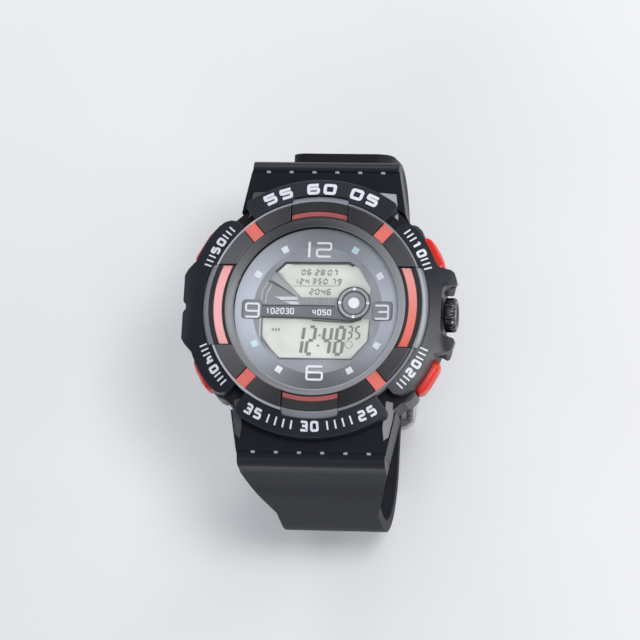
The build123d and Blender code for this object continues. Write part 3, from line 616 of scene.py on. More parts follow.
# Bezel ring: a core with the cone, tabs at the quarters, pads and red accents between them
MAIN_TAB = 7.8
END_TAB = 5.4
TABS = {0: (MAIN_TAB, 17.9, 19.6), 90: (END_TAB, 17.6, 18.6), 180: (MAIN_TAB, 17.9, 19.6),
        270: (END_TAB, 17.6, 18.6)}
BLOCK_ANGLES = (49, 131, 229, 311)
BLOCK_HALF = 1.25
BLOCK_ENDS = (17.4, 20.6)
RING_FOOT = 10.95
RING_BORE = 17.3
EYE_FOOT = 12.66
EYE_EDGE = 12.8
EDGE_FOOT = 12.0
PAD_GAP = 0.15


def make_ring():
    # Cone and pads carry painted reflection: their base colours change round the ring.
    core = turned("ring_core", [
        (EYE_R, EYE_FOOT), (EYE_R, EYE_EDGE), (CONE_R - 0.1, RING_TOP - 0.06), (CONE_R + 0.1, RING_TOP),
        (CONE_R + 0.14, RING_FLOOR), (BEVEL_R + 0.05, RING_FLOOR), (BEVEL_R + 0.05, RING_FOOT),
        (RING_BORE, RING_FOOT), (RING_BORE, EYE_FOOT),
    ], CONE_GREY_SHEEN, slot="black_resin", bevel=0.06)
    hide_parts("bezel_ring")
    # Eye line: a lighter grey ring at the crystal's edge, a painted highlight of that edge.
    turned("eye_line", [
        (EYE_R + 0.02, EYE_EDGE - 0.05), (EYE_R + 0.02, EYE_EDGE + 0.06), (EYE_R + 0.2, EYE_EDGE + 0.26),
        (EYE_R + 0.26, EYE_EDGE + 0.2), (EYE_R + 0.2, EYE_EDGE - 0.05),
    ], EYE_GLINT, slot="black_resin")
    groove = RING_TOP - 0.5
    for centre, (half, red_inner, red_outer) in TABS.items():
        start = (centre, -half)
        end = (centre, half)
        turned(f"tab_face_{centre}", [
            (CONE_R + 0.12, RING_FLOOR - 0.3), (CONE_R + 0.12, RING_TOP), (red_inner - 0.05, RING_TOP),
            (red_inner - 0.05, groove), (red_outer + 0.05, groove), (red_outer + 0.05, RING_TOP),
            (BEVEL_R - 0.04, RING_TOP), (BEVEL_R - 0.04, RING_FLOOR - 0.3),
        ], RING_BLACK, start, end, slot="gloss_black", bevel=0.05)
        turned(f"tab_bevel_{centre}", [
            (BEVEL_R, EDGE_FOOT + 0.2), (BEVEL_R, RING_TOP - 0.02), (BEVEL_R + 0.1, RING_TOP),
            (BEVEL_R + 0.3, RING_TOP - 0.1), (TAB_R - 0.08, 13.2), (TAB_R, 13.1), (TAB_R, EDGE_FOOT + 0.2),
        ], GUN, start, end, slot="gloss_black", bevel=0.05)
        # Side arcs carry the painted highlight of their inlay colour.
        turned(f"accent_arc_{centre}", [
            (red_inner, groove - 0.1), (red_inner, RING_TOP - 0.2), (red_inner + 0.12, RING_TOP - 0.08),
            (red_outer - 0.12, RING_TOP - 0.08), (red_outer, RING_TOP - 0.2), (red_outer, groove - 0.1),
        ], SIDE_CORALS.get(centre, END_CORAL), (centre, -half + 0.12), (centre, half - 0.12),
            slot="red_gloss", bevel=0.05)
        across = END_TAB if half == MAIN_TAB else MAIN_TAB
        # Ring edge: the chamfer between tabs in light grey, a painted highlight with painted reflection round
        # the ring.
        turned(f"ring_edge_{centre}", [
            (BEVEL_R, EDGE_FOOT), (BEVEL_R, RING_TOP - 0.1), (BEVEL_R + 0.12, RING_TOP), (RING_R - 0.04, 13.85),
            (RING_R, 13.75), (RING_R, EDGE_FOOT),
        ], EDGE_GLINT_GREY, (centre, half + 0.1), (centre + 90, -across - 0.1), slot="gloss_black", bevel=0.03)
    blocks = []
    for angle in BLOCK_ANGLES:
        before = 90 * (angle // 90)
        near = (before, TABS[before][0] + PAD_GAP)
        far = (before + 90, -TABS[(before + 90) % 360][0] - PAD_GAP)
        gap = BLOCK_HALF + PAD_GAP
        for word, start, end in (("a", near, (angle, -gap)), ("b", (angle, gap), far)):
            turned(f"pad_{angle}_{word}", [
                (CONE_R + 0.15, RING_FLOOR - 0.1), (CONE_R + 0.15, PAD_TOP - 0.12), (CONE_R + 0.3, PAD_TOP),
                (BEVEL_R - 0.25, PAD_TOP), (BEVEL_R - 0.04, PAD_TOP - 0.15), (BEVEL_R - 0.04, RING_FLOOR - 0.1),
            ], PAD_BLACK_SHEEN, start, end, slot="black_resin", bevel=0.09)
        along = polar(1, angle)
        across = Vector((-along.y, along.x, 0))
        outline = [(along * r + across * s).xy for r, s in corners_of(*BLOCK_ENDS, -BLOCK_HALF, BLOCK_HALF)]
        blocks.append(prism(f"block_{angle}", outline, RING_FLOOR - 0.1, RING_TOP + 0.15, CORAL,
                            slot="red_gloss", bevel=0.13, segments=3))
    accents = join("accent_blocks", blocks)
    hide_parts("red_inlays")


# Bezel shell: plates at 12 and 6, one side with the crown guards, one with the lobes
SHELL_BASE = 9.8
INNER_R = RING_R + 0.12
PLATE_HALF = 36.5
WING_EDGE = 46.5
SHELL_ROWS = 6
SHELL_SLOPE = 0.262
SIDE_SLOPE = 0.605
SIDE_BREAK = (24.2, 12.9)
GUARD_ROOT = 23.2
ARC_STEP = 1.5


def shell_height(x, y):
    """Height of the shell's sloping top face, which falls away faster over guards and lobes."""
    slope = SHELL_TOP - SHELL_SLOPE * (math.hypot(x, y) - INNER_R)
    return min(slope, SIDE_BREAK[1] - SIDE_SLOPE * (abs(x) - SIDE_BREAK[0]))


def ring_gap(direction):
    """Inner radius of the shell in a direction, wider where a tab of the ring stands."""
    reach = TAB_R + 0.12
    beside = min(abs(direction.x), abs(direction.y)) * reach
    half = MAIN_TAB if abs(direction.x) > abs(direction.y) else END_TAB
    return reach if beside < half + 0.15 else INNER_R


def shell_piece(name, outer):
    """A part of the shell between the ring and its own outer outline."""
    top = []
    bottom = []
    for spot in outer:
        direction = spot.normalized()
        inner = direction * ring_gap(direction)
        line = [inner.lerp(spot, j / (SHELL_ROWS - 1)) for j in range(SHELL_ROWS)]
        top.append([(p.x, p.y, shell_height(p.x, p.y)) for p in line])
        bottom.append([(p.x, p.y, SHELL_BASE) for p in line])
    return slab(name, top, bottom, NAVY_SHELL, slot="navy_resin", bevel=0.34, segments=3)


def arc_points(radius, start, end):
    count = max(2, round(abs(end - start) / ARC_STEP))
    return [polar(radius, start + (end - start) * i / count).xy for i in range(count + 1)]


def make_shell():
    for name, middle in (("plate_top", 90), ("plate_bottom", 270)):
        start = middle - PLATE_HALF
        end = middle + PLATE_HALF
        outer = [polar(24.1, start).xy, polar(24.7, start + 0.5).xy]
        outer += arc_points(SHELL_R, start + 2.0, end - 2.0)
        outer += [polar(24.7, end - 0.5).xy, polar(24.1, end).xy]
        plate = shell_piece(name, outer)
        if name == "plate_top":
            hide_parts("bezel_shell")
    # Each side: wing end as (radius, degrees from its edge), its arc, and the outline of guard or lobe
    sides = (
        ("shell_crown_side", 1, ((22.7, 0), (23.3, 0.9), (23.8, 2.6), (24.2, 5.0)), (CASE_R, 8.0, 24.5),
         [(22.6, 9.2), (22.9, 8.6), (23.5, 8.3), (24.3, 8.15), (25.5, 7.95), (26.1, 7.5), (26.4, 6.6),
          (GUARD_X - 0.05, 5.7), (26.4, 5.2), (25.2, 4.95), (24.6, 4.8), (24.2, 4.4), (24.05, 3.8), (24.0, 2.0),
          (24.0, 0.0)]),
        ("shell_lobe_side", -1, ((22.7, 0), (23.4, 0.6), (24.3, 2.2), (24.9, 4.5), (25.2, 7.5)),
         (SHELL_R, 11.0, 20.5),
         [(24.2, 8.4), (25.2, 7.3), (LOBE_X, 6.2), (LOBE_X, 1.2), (25.6, 0.7), (25.3, 0.5), (25.3, 0.0)]),
    )
    for name, side, wing, (radius, first, last), tip in sides:
        upper = [polar(r, WING_EDGE - back).xy for r, back in wing]
        upper += arc_points(radius, WING_EDGE - first, last) + [Vector(spot) for spot in tip]
        lower = [Vector((side * x, -y)) for x, y in reversed(upper[:-1])]
        shell_piece(name, [Vector((side * x, y)) for x, y in upper] + lower)
    guard = [(GUARD_ROOT, 4.9), (26.1, 4.9), (26.5, 5.4), (26.4, 6.6), (26.0, 7.5), (25.2, 7.9), (24.3, 7.5),
             (GUARD_ROOT, 7.2)]
    lobe = [(-GUARD_ROOT, 0.4), (-25.1, 0.4), (-LOBE_X + 0.1, 1.0), (-LOBE_X + 0.1, 6.1), (-25.2, 7.2),
            (-GUARD_ROOT, 7.5)]
    foot = [(x - 0.35 * (x - GUARD_ROOT), y) for x, y in guard]
    for side, word in ((1, "upper"), (-1, "lower")):
        for name, outline, base, low in (("guard", guard, foot, 3.4), ("lobe", lobe, lobe, 4.0)):
            prism(f"{name}_foot_{word}", [(x, side * y) for x, y in outline], low, SHELL_BASE + 0.3, BLACK,
                  [(x, side * y) for x, y in base], slot="navy_resin", bevel=0.3, segments=3)


def make_flank():
    """Shoulders of the case body beside each pusher, below the wings' ends."""
    outline = ((CASE_R - 0.3, 8.9), (25.0, 8.9), (25.25, 11.0), (25.15, 13.6), (24.8, 15.4),
               (CASE_R - 0.1, 16.4))
    for name in PUSHER_NAMES:
        angle = pusher_place(name)[0]
        away = 1 if angle % 180 < 90 else -1
        spots = [polar(r, angle + away * a).xy for r, a in outline]
        prism(f"{name}_shoulder", spots, 3.6, 9.5, SHOULDER, slot="black_resin", bevel=0.45, segments=4)


def make_minute_scale():
    """A plain minute scale on plates and wings; a number's size is (width, height, gap, stroke)."""
    strokes = []
    for numbers, radius, outward, size in (
            ((("55", 111), ("60", 90), ("05", 69)), 23.3, True, (2.5, 2.3, 0.7, 0.62)),
            ((("35", 242), ("30", 270), ("25", 298)), 23.2, False, (1.6, 2.0, 0.45, 0.46)),
            ((("10", 31), ("50", 149)), 22.6, True, (1.5, 1.85, 0.45, 0.48)),
            ((("20", -31), ("40", 211)), 22.6, False, (1.5, 1.85, 0.45, 0.48))):
        for digits, degrees in numbers:
            strokes += number_strokes(digits, *size, curved_place(radius, degrees, shell_height, outward))
    ticks = [(23.2, 270, step, 1.6, 0.32) for step in (8.6, 12.4, 16.2, 20.0)]
    ticks += [(22.6, middle, step, 1.5, 0.3) for middle in (31, 149, -31, 211) for step in (5.8, 8.2, 10.6)]
    for radius, middle, step, long, wide in ticks:
        for degrees in (middle - step, middle + step):
            place = curved_place(radius, degrees, shell_height)
            strokes.append(ribbon([(0, -long / 2), (0, long / 2)], wide, place, 0.06))
    strokes_piece("minute_scale", strokes, WHITE)


# Dial: sloping outer ring, face with two windows, numerals, markers and trim
SUBDIAL = (7.0, 1.45)
STEP_R = 12.45
QUARTER_WEST = -12.6
QUARTER_EAST = 12.55
BAND_INK = 0.09
INK_THICK = 0.05


def dial_height(x, y):
    """Height of the dial: level inside, rising a little over its outer ring."""
    return DIAL_TOP + 0.06 + max(0.0, math.hypot(x, y) - STEP_R) * 0.07


def flat_piece(name, outline, low, high, material, **looks):
    return prism(name, outline, DIAL_TOP + low, DIAL_TOP + high, material, **looks)


def make_dial():
    ring_outer = DIAL_R - 0.15
    # Outer dial ring with painted reflection in its grey.
    turned("dial_ring", [
        (STEP_R, DIAL_TOP - 0.05), (STEP_R, DIAL_TOP + 0.06), (ring_outer, dial_height(ring_outer, 0)),
        (ring_outer, DIAL_TOP - 0.05),
    ], DIAL_RING_SHEEN, slot="dial_grey")
    turned("dial_wall", [
        (DIAL_R - 0.14, DIAL_TOP - 0.3), (DIAL_R - 0.14, DIAL_TOP + 0.42), (DIAL_R + 0.02, DIAL_TOP + 0.42),
        (DIAL_R + 0.02, DIAL_TOP - 0.3),
    ], CHIP, slot="dial_trim")
    for name, hours, material in (("hour_marks", (2, 4, 5, 7, 10, 11), DIAL_WHITE),
                                  ("hour_marks_blue", (1, 8), PALE_BLUE)):
        marks = [ribbon([(0, -0.62), (0, 0.62)], 1.24, curved_place(13.6, 90 - 30 * hour, dial_height), 0.1)
                 for hour in hours]
        strokes_piece(name, marks, material)
    numerals = [ribbon([(0, -1.5), (0, 1.5)], 0.5, surface_place(-2.15, 11.85, dial_height), 0.08)]
    numerals += number_strokes("2", 3.1, 3.0, 0, 0.4, surface_place(0.7, 11.85, dial_height))
    numerals += number_strokes("6", 3.4, 3.0, 0, 0.42, surface_place(0.1, -12.35, dial_height))
    frames = []
    for quarter, text, x, shift in (("west", "9", QUARTER_WEST, 0.1), ("east", "3", QUARTER_EAST, -0.1)):
        numerals += number_strokes(text, 2.85, 2.95, 0, 0.36, surface_place(x + shift, -0.3, dial_height, 0.22))
        edge = corners_of(x - 1.85, x + 1.85, -1.8, 1.7)
        frames.append(ribbon(edge, 0.28, surface_place(0, 0, dial_height), 0.07, 0.7, True))
        field = fillet(corners_of(x - 1.8, x + 1.8, -1.75, 1.65), 0.7)
        flat_piece(f"numeral_field_{quarter}", field, 0.0, 0.24, DIAL_FIELD, slot="dial_grey")
    strokes_piece("hour_numerals", numerals, DIAL_WHITE)
    strokes_piece("numeral_frames", frames, BAND_GREY, slot="dial_grey")


def make_dial_trim():
    """Band between the windows, the fan beside it and light strips."""
    band = [(-10.6, 0.75), (-3.4, 0.85), (3.4, 0.8), (4.2, -0.1), (5.4, -1.0), (7.4, -1.5), (8.9, -1.2),
            (8.4, -1.75), (6.8, -2.0), (3.0, -1.75), (-3.3, -1.5), (-10.6, -1.45)]
    fan = [(-9.7, 5.6), (-4.3, 2.6), (-3.5, 0.9), (-10.9, 0.75), (-10.75, 3.4)]
    corner = [(-8.11, 7.34), (-6.31, 9.09), (-5.11, 9.11), (-7.22, 7.00)]
    ridge = [(-9.35, 6.0), (-8.6, 6.95), (-3.6, 2.85), (-4.4, 2.7)]
    upper_strip = [(-8.4, 2.5), (-4.0, 2.55), (-3.9, 1.95), (-7.0, 1.85)]
    lower_strip = [(-6.6, 1.6), (-3.9, 1.6), (-3.4, 1.0), (-5.0, 1.0)]
    grey_strip = [(-3.5, 2.45), (3.6, 2.5), (3.4, 0.95), (-3.4, 0.9)]
    for name, outline, low, high, material, slot, bevel in (
            ("dial_band", band, -0.02, 0.1, BAND_GREY, "dial_trim", 0.03),
            ("fan_field", fan, -0.02, 0.04, FAN_GREY, "dial_grey", 0),
            ("display_corner", corner, -0.02, 0.02, DISPLAY, "lcd", 0),
            ("window_ridge", ridge, -0.02, 0.16, RIDGE_GREY, "dial_grey", 0.05),
            ("light_strip_0", upper_strip, 0.0, 0.1, PALE_GREY, "dial_trim", 0.02),
            ("light_strip_1", lower_strip, 0.0, 0.1, PALE_GREY, "dial_trim", 0.02),
            ("grey_strip", grey_strip, -0.02, 0.06, STRIP_GREY, "dial_grey", 0.03)):
        flat_piece(name, outline, low, high, material, slot=slot, bevel=bevel)
    # Fine lines: (corners, width, height over the dial, radius of its bends)
    for name, material, lines in (
            # band_lines: print lines round the band; the dark line along the lower window's top edge is painted
            # shadow.
            ("band_lines", INK_AND_PAINTED_SHADOW, [
                (band[:3], 0.22, BAND_INK, 0.1),
                ([(-10.6, -1.5), (-3.3, -1.55), (3.0, -1.8), (6.8, -2.05), (8.6, -1.7)], 0.34, BAND_INK, 0.8),
                ([(-9.6, 5.6), (-6.8, 4.2), (-4.3, 2.65)], 0.2, 0.05, 0.1),
                ([(-0.9, -2.0), (3.6, -2.25), (6.8, -2.3), (8.6, -1.75)], 0.16, 0.02, 0.8)]),
            ("fan_lines", PALE_GREY, [
                ([(-9.8, 5.4), (-10.75, 3.6), (-11.0, 1.0)], 0.13, 0.06, 2.0),
                ([(-9.0, 4.9), (-9.85, 3.3), (-10.1, 1.2)], 0.13, 0.06, 2.0)]),
            # window_edge: painted shadow, a dark stroke along the upper window's top edge where the plate shades
            # the display.
            ("window_edge", INK_AND_PAINTED_SHADOW, [([(-8.35, 7.35), (-6.5, 9.2), (5.7, 9.32), (6.7, 8.8)], 0.5, 0.02, 0.3)]),
            ("window_edge_low", BAND_GREY, [
                ([(-10.55, -1.7), (-10.42, -5.95), (-6.75, -9.65), (7.0, -9.55), (10.05, -5.85), (10.25, -1.8)],
                 0.18, 0.02, 0.3)]),
            ("window_line", PALE_GREY, [([(-10.95, -1.3), (-10.85, -5.4)], 0.2, 0.02, 0.1)])):
        strokes = [ribbon(corners, width, flat_place(0, 0, DIAL_TOP + height), INK_THICK, radius)
                   for corners, width, height, radius in lines]
        strokes_piece(name, strokes, material)
    digits = number_strokes("102030", 0.78, 1.2, 0.16, 0.2, flat_place(-7.2, -0.3, DIAL_TOP + BAND_INK), 0.04)
    digits += number_strokes("4050", 0.78, 1.15, 0.16, 0.2, flat_place(0.9, -0.45, DIAL_TOP + BAND_INK), 0.04)
    strokes_piece("band_digits", digits, DIAL_WHITE)
    place = flat_place(0.3, 1.7, DIAL_TOP + 0.06)
    marks = [ribbon([(u, -0.3), (u, 0.3)], 0.3, place, 0.03) for u in (-2.4, -1.5, -0.6, 0.9, 1.8)]
    strokes_piece("strip_marks", marks, FAINT_INK)


def make_subdial():
    """Rings of the sub-dial, its hub and four dots."""
    base = DIAL_TOP + 0.02
    dot_top = DIAL_TOP + 0.34
    for name, inner, outer, height, material in (
            ("rim", 3.02, 3.22, 0.3, CHIP), ("band", 2.4, 3.04, 0.28, STRIP_GREY),
            # step: a dark ring of painted shade inside the band.
            ("line", 2.58, 2.84, 0.34, RIM_GREY), ("step", 2.15, 2.42, 0.2, SUBDIAL_PAINTED_SHADE),
            ("dish", 0.02, 2.2, 0.1, FAN_GREY), ("hub", 0.02, 1.05, 0.34, DIAL_WHITE)):
        high = DIAL_TOP + height
        piece = turned(f"subdial_{name}", [(inner, base), (inner, high), (outer, high), (outer, base)], material,
                       step=360 / 64, centre=SUBDIAL, slot="dial_trim", bevel=0.04)
        if name == "rim":
            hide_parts("subdial_ring")
    dots = []
    for angle in (0, 90, 180, 270):
        spot = Vector(SUBDIAL) + polar(2.71, angle).xy
        dots.append(ribbon([(-0.3, 0), (0.3, 0)], 0.5, flat_place(*spot, dot_top, angle), 0.03))
    strokes_piece("subdial_dots", dots, DIAL_WHITE)


# Display: seven-segment digits; each digit lists its lit segments, a at the top, then clockwise, g across
LIT = {"0": "abcdef", "1": "bc", "2": "abged", "3": "abgcd", "4": "fgbc", "5": "afgcd", "6": "afgedc",
       "7": "abc", "8": "abcdefg", "9": "abcdfg"}
ENDS = {"a": ((0, 1), (1, 1)), "b": ((1, 1), (1, 0.5)), "c": ((1, 0.5), (1, 0)), "d": ((0, 0), (1, 0)),
        "e": ((0, 0.5), (0, 0)), "f": ((0, 1), (0, 0.5)), "g": ((0, 0.5), (1, 0.5))}


INK_LIFT = 0.02
DIGIT_THICK = 0.02


def segment_strokes(text, wide, high, pitch, width, place, gap=None):
    """Strokes of a seven-segment number; gap is (first digit after it, its width)."""
    strokes = []
    for index, digit in enumerate(text):
        left = index * pitch + (gap[1] if gap and index >= gap[0] else 0)
        for segment in LIT[digit]:
            first, last = [Vector((left + width / 2 + x * (wide - width), (y - 0.5) * (high - width)))
                           for x, y in ENDS[segment]]
            ease = (last - first).normalized() * width * 0.32
            strokes.append(ribbon([first + ease, last - ease], width, place, DIGIT_THICK))
    return strokes


def make_display():
    """Time, seconds and small rows of plain digits on the display."""
    height = LCD_TOP + INK_LIFT
    strokes = []
    for text, wide, high, pitch, width, x, y, slant, gap in (
            ("12", 1.85, 5.9, 2.2, 0.6, -4.15, -5.85, 0.1, None),
            ("48", 2.0, 5.9, 2.45, 0.62, 1.05, -5.85, 0.1, None),
            ("35", 1.15, 2.7, 1.5, 0.36, 5.85, -4.2, 0.08, None),
            ("06", 0.85, 1.2, 1.1, 0.26, -3.5, 7.5, 0.1, None),
            ("2807", 0.85, 1.2, 1.1, 0.26, -0.9, 7.5, 0.1, (2, 0.25)),
            ("124", 0.85, 1.2, 1.1, 0.26, -4.95, 5.7, 0.1, None),
            ("35079", 0.85, 1.2, 1.1, 0.26, -1.4, 5.75, 0.1, (3, 0.5)),
            ("2046", 0.9, 1.25, 1.1, 0.26, -1.8, 3.7, 0.1, None)):
        strokes += segment_strokes(text, wide, high, pitch, width, flat_place(x, y, height, 0, slant), gap)
    for v in (-1.0, 1.0):
        place = flat_place(0.55 + v * 0.1, -5.85 + v, height)
        strokes.append(ribbon([(0, -0.2), (0, 0.2)], 0.4, place, DIGIT_THICK))
    strokes_piece("display_digits", strokes, DIGIT_INK, slot="lcd")
    small = [ribbon([(u, 0), (u + 0.4, 0)], 0.55, flat_place(-7.8, -3.85, height), DIGIT_THICK)
             for u in (-0.85, -0.25, 0.35)]
    small.append(ribbon([(-4.9, 4.75), (4.2, 4.95)], 0.13, flat_place(0, 0, height), DIGIT_THICK))
    small.append(ribbon(circle(0.72), 0.16, flat_place(6.3, -6.55, height), DIGIT_THICK, 0.01, True))
    strokes_piece("display_small", small, FAINT_INK, slot="lcd")


# Pushers: domed caps in a soft rectangle; those on the 9 o'clock side stand a little prouder
CAP_SHIFT = {"start": -0.25, "light": 0.95, "mode": 0.05, "reset": -0.3}


def make_caps():
    for name in PUSHER_NAMES:
        degrees, seat, height = pusher_place(name)
        reach = seat + CAP_SHIFT[name]
        out = polar(1, degrees)
        along = Vector((-out.y, out.x, 0))
        rings = []
        # Each ring: place along the axis, half sizes, corner radius and bow
        for radius, half_long, half_high, corner, bow in (
                (seat - 2.6, 3.6, 1.9, 0.9, 0.02), (reach - 0.7, 3.6, 1.9, 0.9, 0.035),
                (reach - 0.3, 3.52, 1.82, 0.85, 0.05), (reach - 0.12, 3.3, 1.6, 0.75, 0.05),
                (reach - 0.04, 2.9, 1.2, 0.6, 0.05), (reach, 1.5, 0.5, 0.3, 0.05)):
            outline = fillet(corners_of(-half_long, half_long, -half_high, half_high), corner, 6)
            rings.append([out * (radius - bow * u * u) + along * u + Vector((0, 0, height + v))
                          for u, v in outline])
        cap = loft(f"{name}_cap_dome", rings, RED, body=f"{name}_pusher", slot="red_gloss", sharp=60)
        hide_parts(f"{name}_cap")


# Crown: fluted barrel with a rounded edge and a dished end
FLUTES = 16
FLUTE_DEPTH = 0.17


def make_crown():
    around = FLUTES * 8
    inner = crown_low.x
    outer = crown_high.x
    reach = crown_high.y
    rings = []
    for x, radius in (
            (inner, reach - 0.7), (inner + 0.05, reach - 0.25), (inner + 0.3, reach), (outer - 0.5, reach),
            (outer - 0.15, reach - 0.2), (outer, reach - 0.55), (outer - 0.05, reach - 0.85),
            (outer - 0.3, reach - 1.1), (outer - 0.3, 0.0)):
        ring = []
        for k in range(around):
            turn = math.tau * k / around
            r = radius - (FLUTE_DEPTH * (1 - math.cos(FLUTES * turn)) if radius > reach - 0.3 else 0)
            ring.append((x, r * math.cos(turn), CROWN_Z + r * math.sin(turn)))
        rings.append(ring)
    knob = loft("crown_knob", rings, CROWN_BLACK, body="crown", slot="gloss_black", sharp=40)
    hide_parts("crown")


# Strap: each half is one piece, from the case round the bend and down the side of the wrist.
# Its shape is drawn as seen from the side, in (distance from the case's middle, height).
STRAP_TOP = 9.6
STRAP_BASE = 2.6
SLOT_TOP = 7.4
ROOT_HALF = node_box("strap_upper")[1].x
BEND_HALF = 14.2
BAND_HALF = 10.0
TAPER_HEIGHTS = (-15.0, 5.0)
TAPER_YS = (19.5, 28.5)
ROOT_GAP = 0.6
ROOT_STEPS = 6
ROOT_GUESS = 22.0
ROOT_ROUNDS = 6
BAND_THICK = 2.4
TAIL_THICK = 2.2
BEND_START = 27.9
BEND_END = (30.08, 6.8)
BEND_INNER = Vector((28.7, STRAP_BASE))
BEND_SPOTS = 12
BEND = Vector((28.95, 6.4))
SIDE_TOP = Vector((32.4, -8.0))
SIDE_FOOT = Vector((34.4, -22.0))
RUN = (SIDE_FOOT - SIDE_TOP).normalized()
BUCKLE_BAR = (3.2, -38.2)
SHORT_FLOOR = -38.2
LONG_FLOOR = -39.7
TAIL_FLOOR = -41.15
TAIL_YS = (-14.0, -0.5)
TAIL_STEPS = (3, 6, 9, 11, 12.2, 13)
TIP_HALVES = (9.6, 8.9, 7.4)
NOSE_R = 1.65
CROSS_Y = 27.6
PRONG_HALF = 1.2
HOLE_HALF = 2.1
HOLE_YS = [-15.2 + 6.0 * k for k in range(6)]
ROWS = (-1.0, -0.97, -0.785, -0.78, -0.525, -0.52, -0.12, 0.12, 0.52, 0.525, 0.78, 0.785, 0.97, 1.0)
SLOT_ROWS = (3, 4, 9, 10)
HOLE_ROW = 6
NUBS = 6
NUB_STEP = 4.45


def arc_from(start, along, end, steps):
    """Points of the arc that leaves start in a direction and ends at end."""
    start = Vector(start)
    chord = Vector(end) - start
    normal = Vector((-along.y, along.x))
    turn = 2 * math.atan2(along.cross(chord), along.dot(chord))
    centre = start + normal * chord.length_squared / (2 * chord.dot(normal))
    return [centre + Matrix.Rotation(turn * k / steps, 2) @ (start - centre) for k in range(steps + 1)]


def corner_arc(floor, reach):
    """Arc from the leaning side to a level floor; reach is how far outside the short strap it runs."""
    lean = math.atan2(RUN.x, -RUN.y)
    drop = SIDE_FOOT.y - (SHORT_FLOOR if reach else floor)
    radius = drop / (1 + math.sin(lean)) + reach
    foot = SIDE_FOOT + Vector((math.cos(lean), math.sin(lean))) * reach
    return arc_from(foot, RUN, Vector((foot.x - radius * math.cos(lean), floor)), 16)


def share(value, low, high):
    """How far a value has come from one to another, from 0 to 1."""
    return min(1.0, max(0.0, (value - low) / (high - low)))


def band_half(height):
    """Half width of the strap on its way down the side."""
    return BAND_HALF + (BEND_HALF - BAND_HALF) * share(height, *TAPER_HEIGHTS)


def root_half(distance):
    """Half width of the strap beside the case."""
    return ROOT_HALF + (BEND_HALF - ROOT_HALF) * share(distance, *TAPER_YS)


def root_start(row):
    """Where the strap begins behind the case, for a row at a fraction of its half width."""
    distance = ROOT_GUESS
    for _ in range(ROOT_ROUNDS):
        distance = math.sqrt((CASE_R + ROOT_GAP) ** 2 - (row * root_half(distance)) ** 2)
    return distance


def strap_half(name, node, side, line, thick, halves, holes):
    """Root and band of one strap half in one piece, with its slots for the lugs."""
    bend_arc = arc_from((BEND_START, STRAP_TOP), Vector((1, 0)), BEND_END, 6)
    groove = [(CROSS_Y - 0.22, 0), (CROSS_Y - 0.16, -0.25), (CROSS_Y + 0.16, -0.25), (CROSS_Y + 0.22, 0)]
    top = []
    bottom = []
    for index, row in enumerate(ROWS):
        start = root_start(row)
        base = SLOT_TOP if index in SLOT_ROWS else STRAP_BASE
        last = ROOT_STEPS - 1
        root = [(start + (CROSS_Y - 0.3 - start) * k / last, 0) for k in range(ROOT_STEPS)] + groove
        over = [(d, STRAP_TOP + drop, root_half(d)) for d, drop in root]
        under = [(d, base, root_half(d)) for d, drop in root]
        over += [(spot.x, spot.y, BEND_HALF) for spot in bend_arc]
        under += [(BEND_START + 0.1 * k, STRAP_BASE if k else base, BEND_HALF) for k in range(len(bend_arc))]
        for k in range(1, len(line)):
            along = heading(line, k)
            out = Vector((-along.y, along.x)) * thick(k) / 2
            outer = line[k] + out
            inner = line[k] - out
            if k < BEND_SPOTS and inner.y > STRAP_BASE - 0.4:
                inner = BEND_INNER
            over.append((outer.x, outer.y, halves[k]))
            under.append((inner.x, inner.y, halves[k]))
        top.append([(row * half, side * d, z) for d, z, half in over])
        bottom.append([(row * half, side * d, z) for d, z, half in under])
    first = ROOT_STEPS + len(groove) + len(bend_arc) - 1
    cells = {(HOLE_ROW, first + k) for k in holes}
    strap = slab(name, top, bottom, NAVY, cells, slot="strap_resin", bevel=0.32, segments=3)
    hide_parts(node)
    nubs = []
    for k in range(NUBS):
        x = NUB_STEP * (k - (NUBS - 1) / 2)
        corners = corners_of(x - 0.4, x + 0.4, side * (CROSS_Y - 0.3), side * (CROSS_Y + 0.2))
        nubs.append(prism(f"{name}_nub_{k}", corners, STRAP_TOP - 0.3, STRAP_TOP + 0.22, NUB_GREY,
                          slot="strap_resin", bevel=0.15))
    join(f"{name}_nubs", nubs)


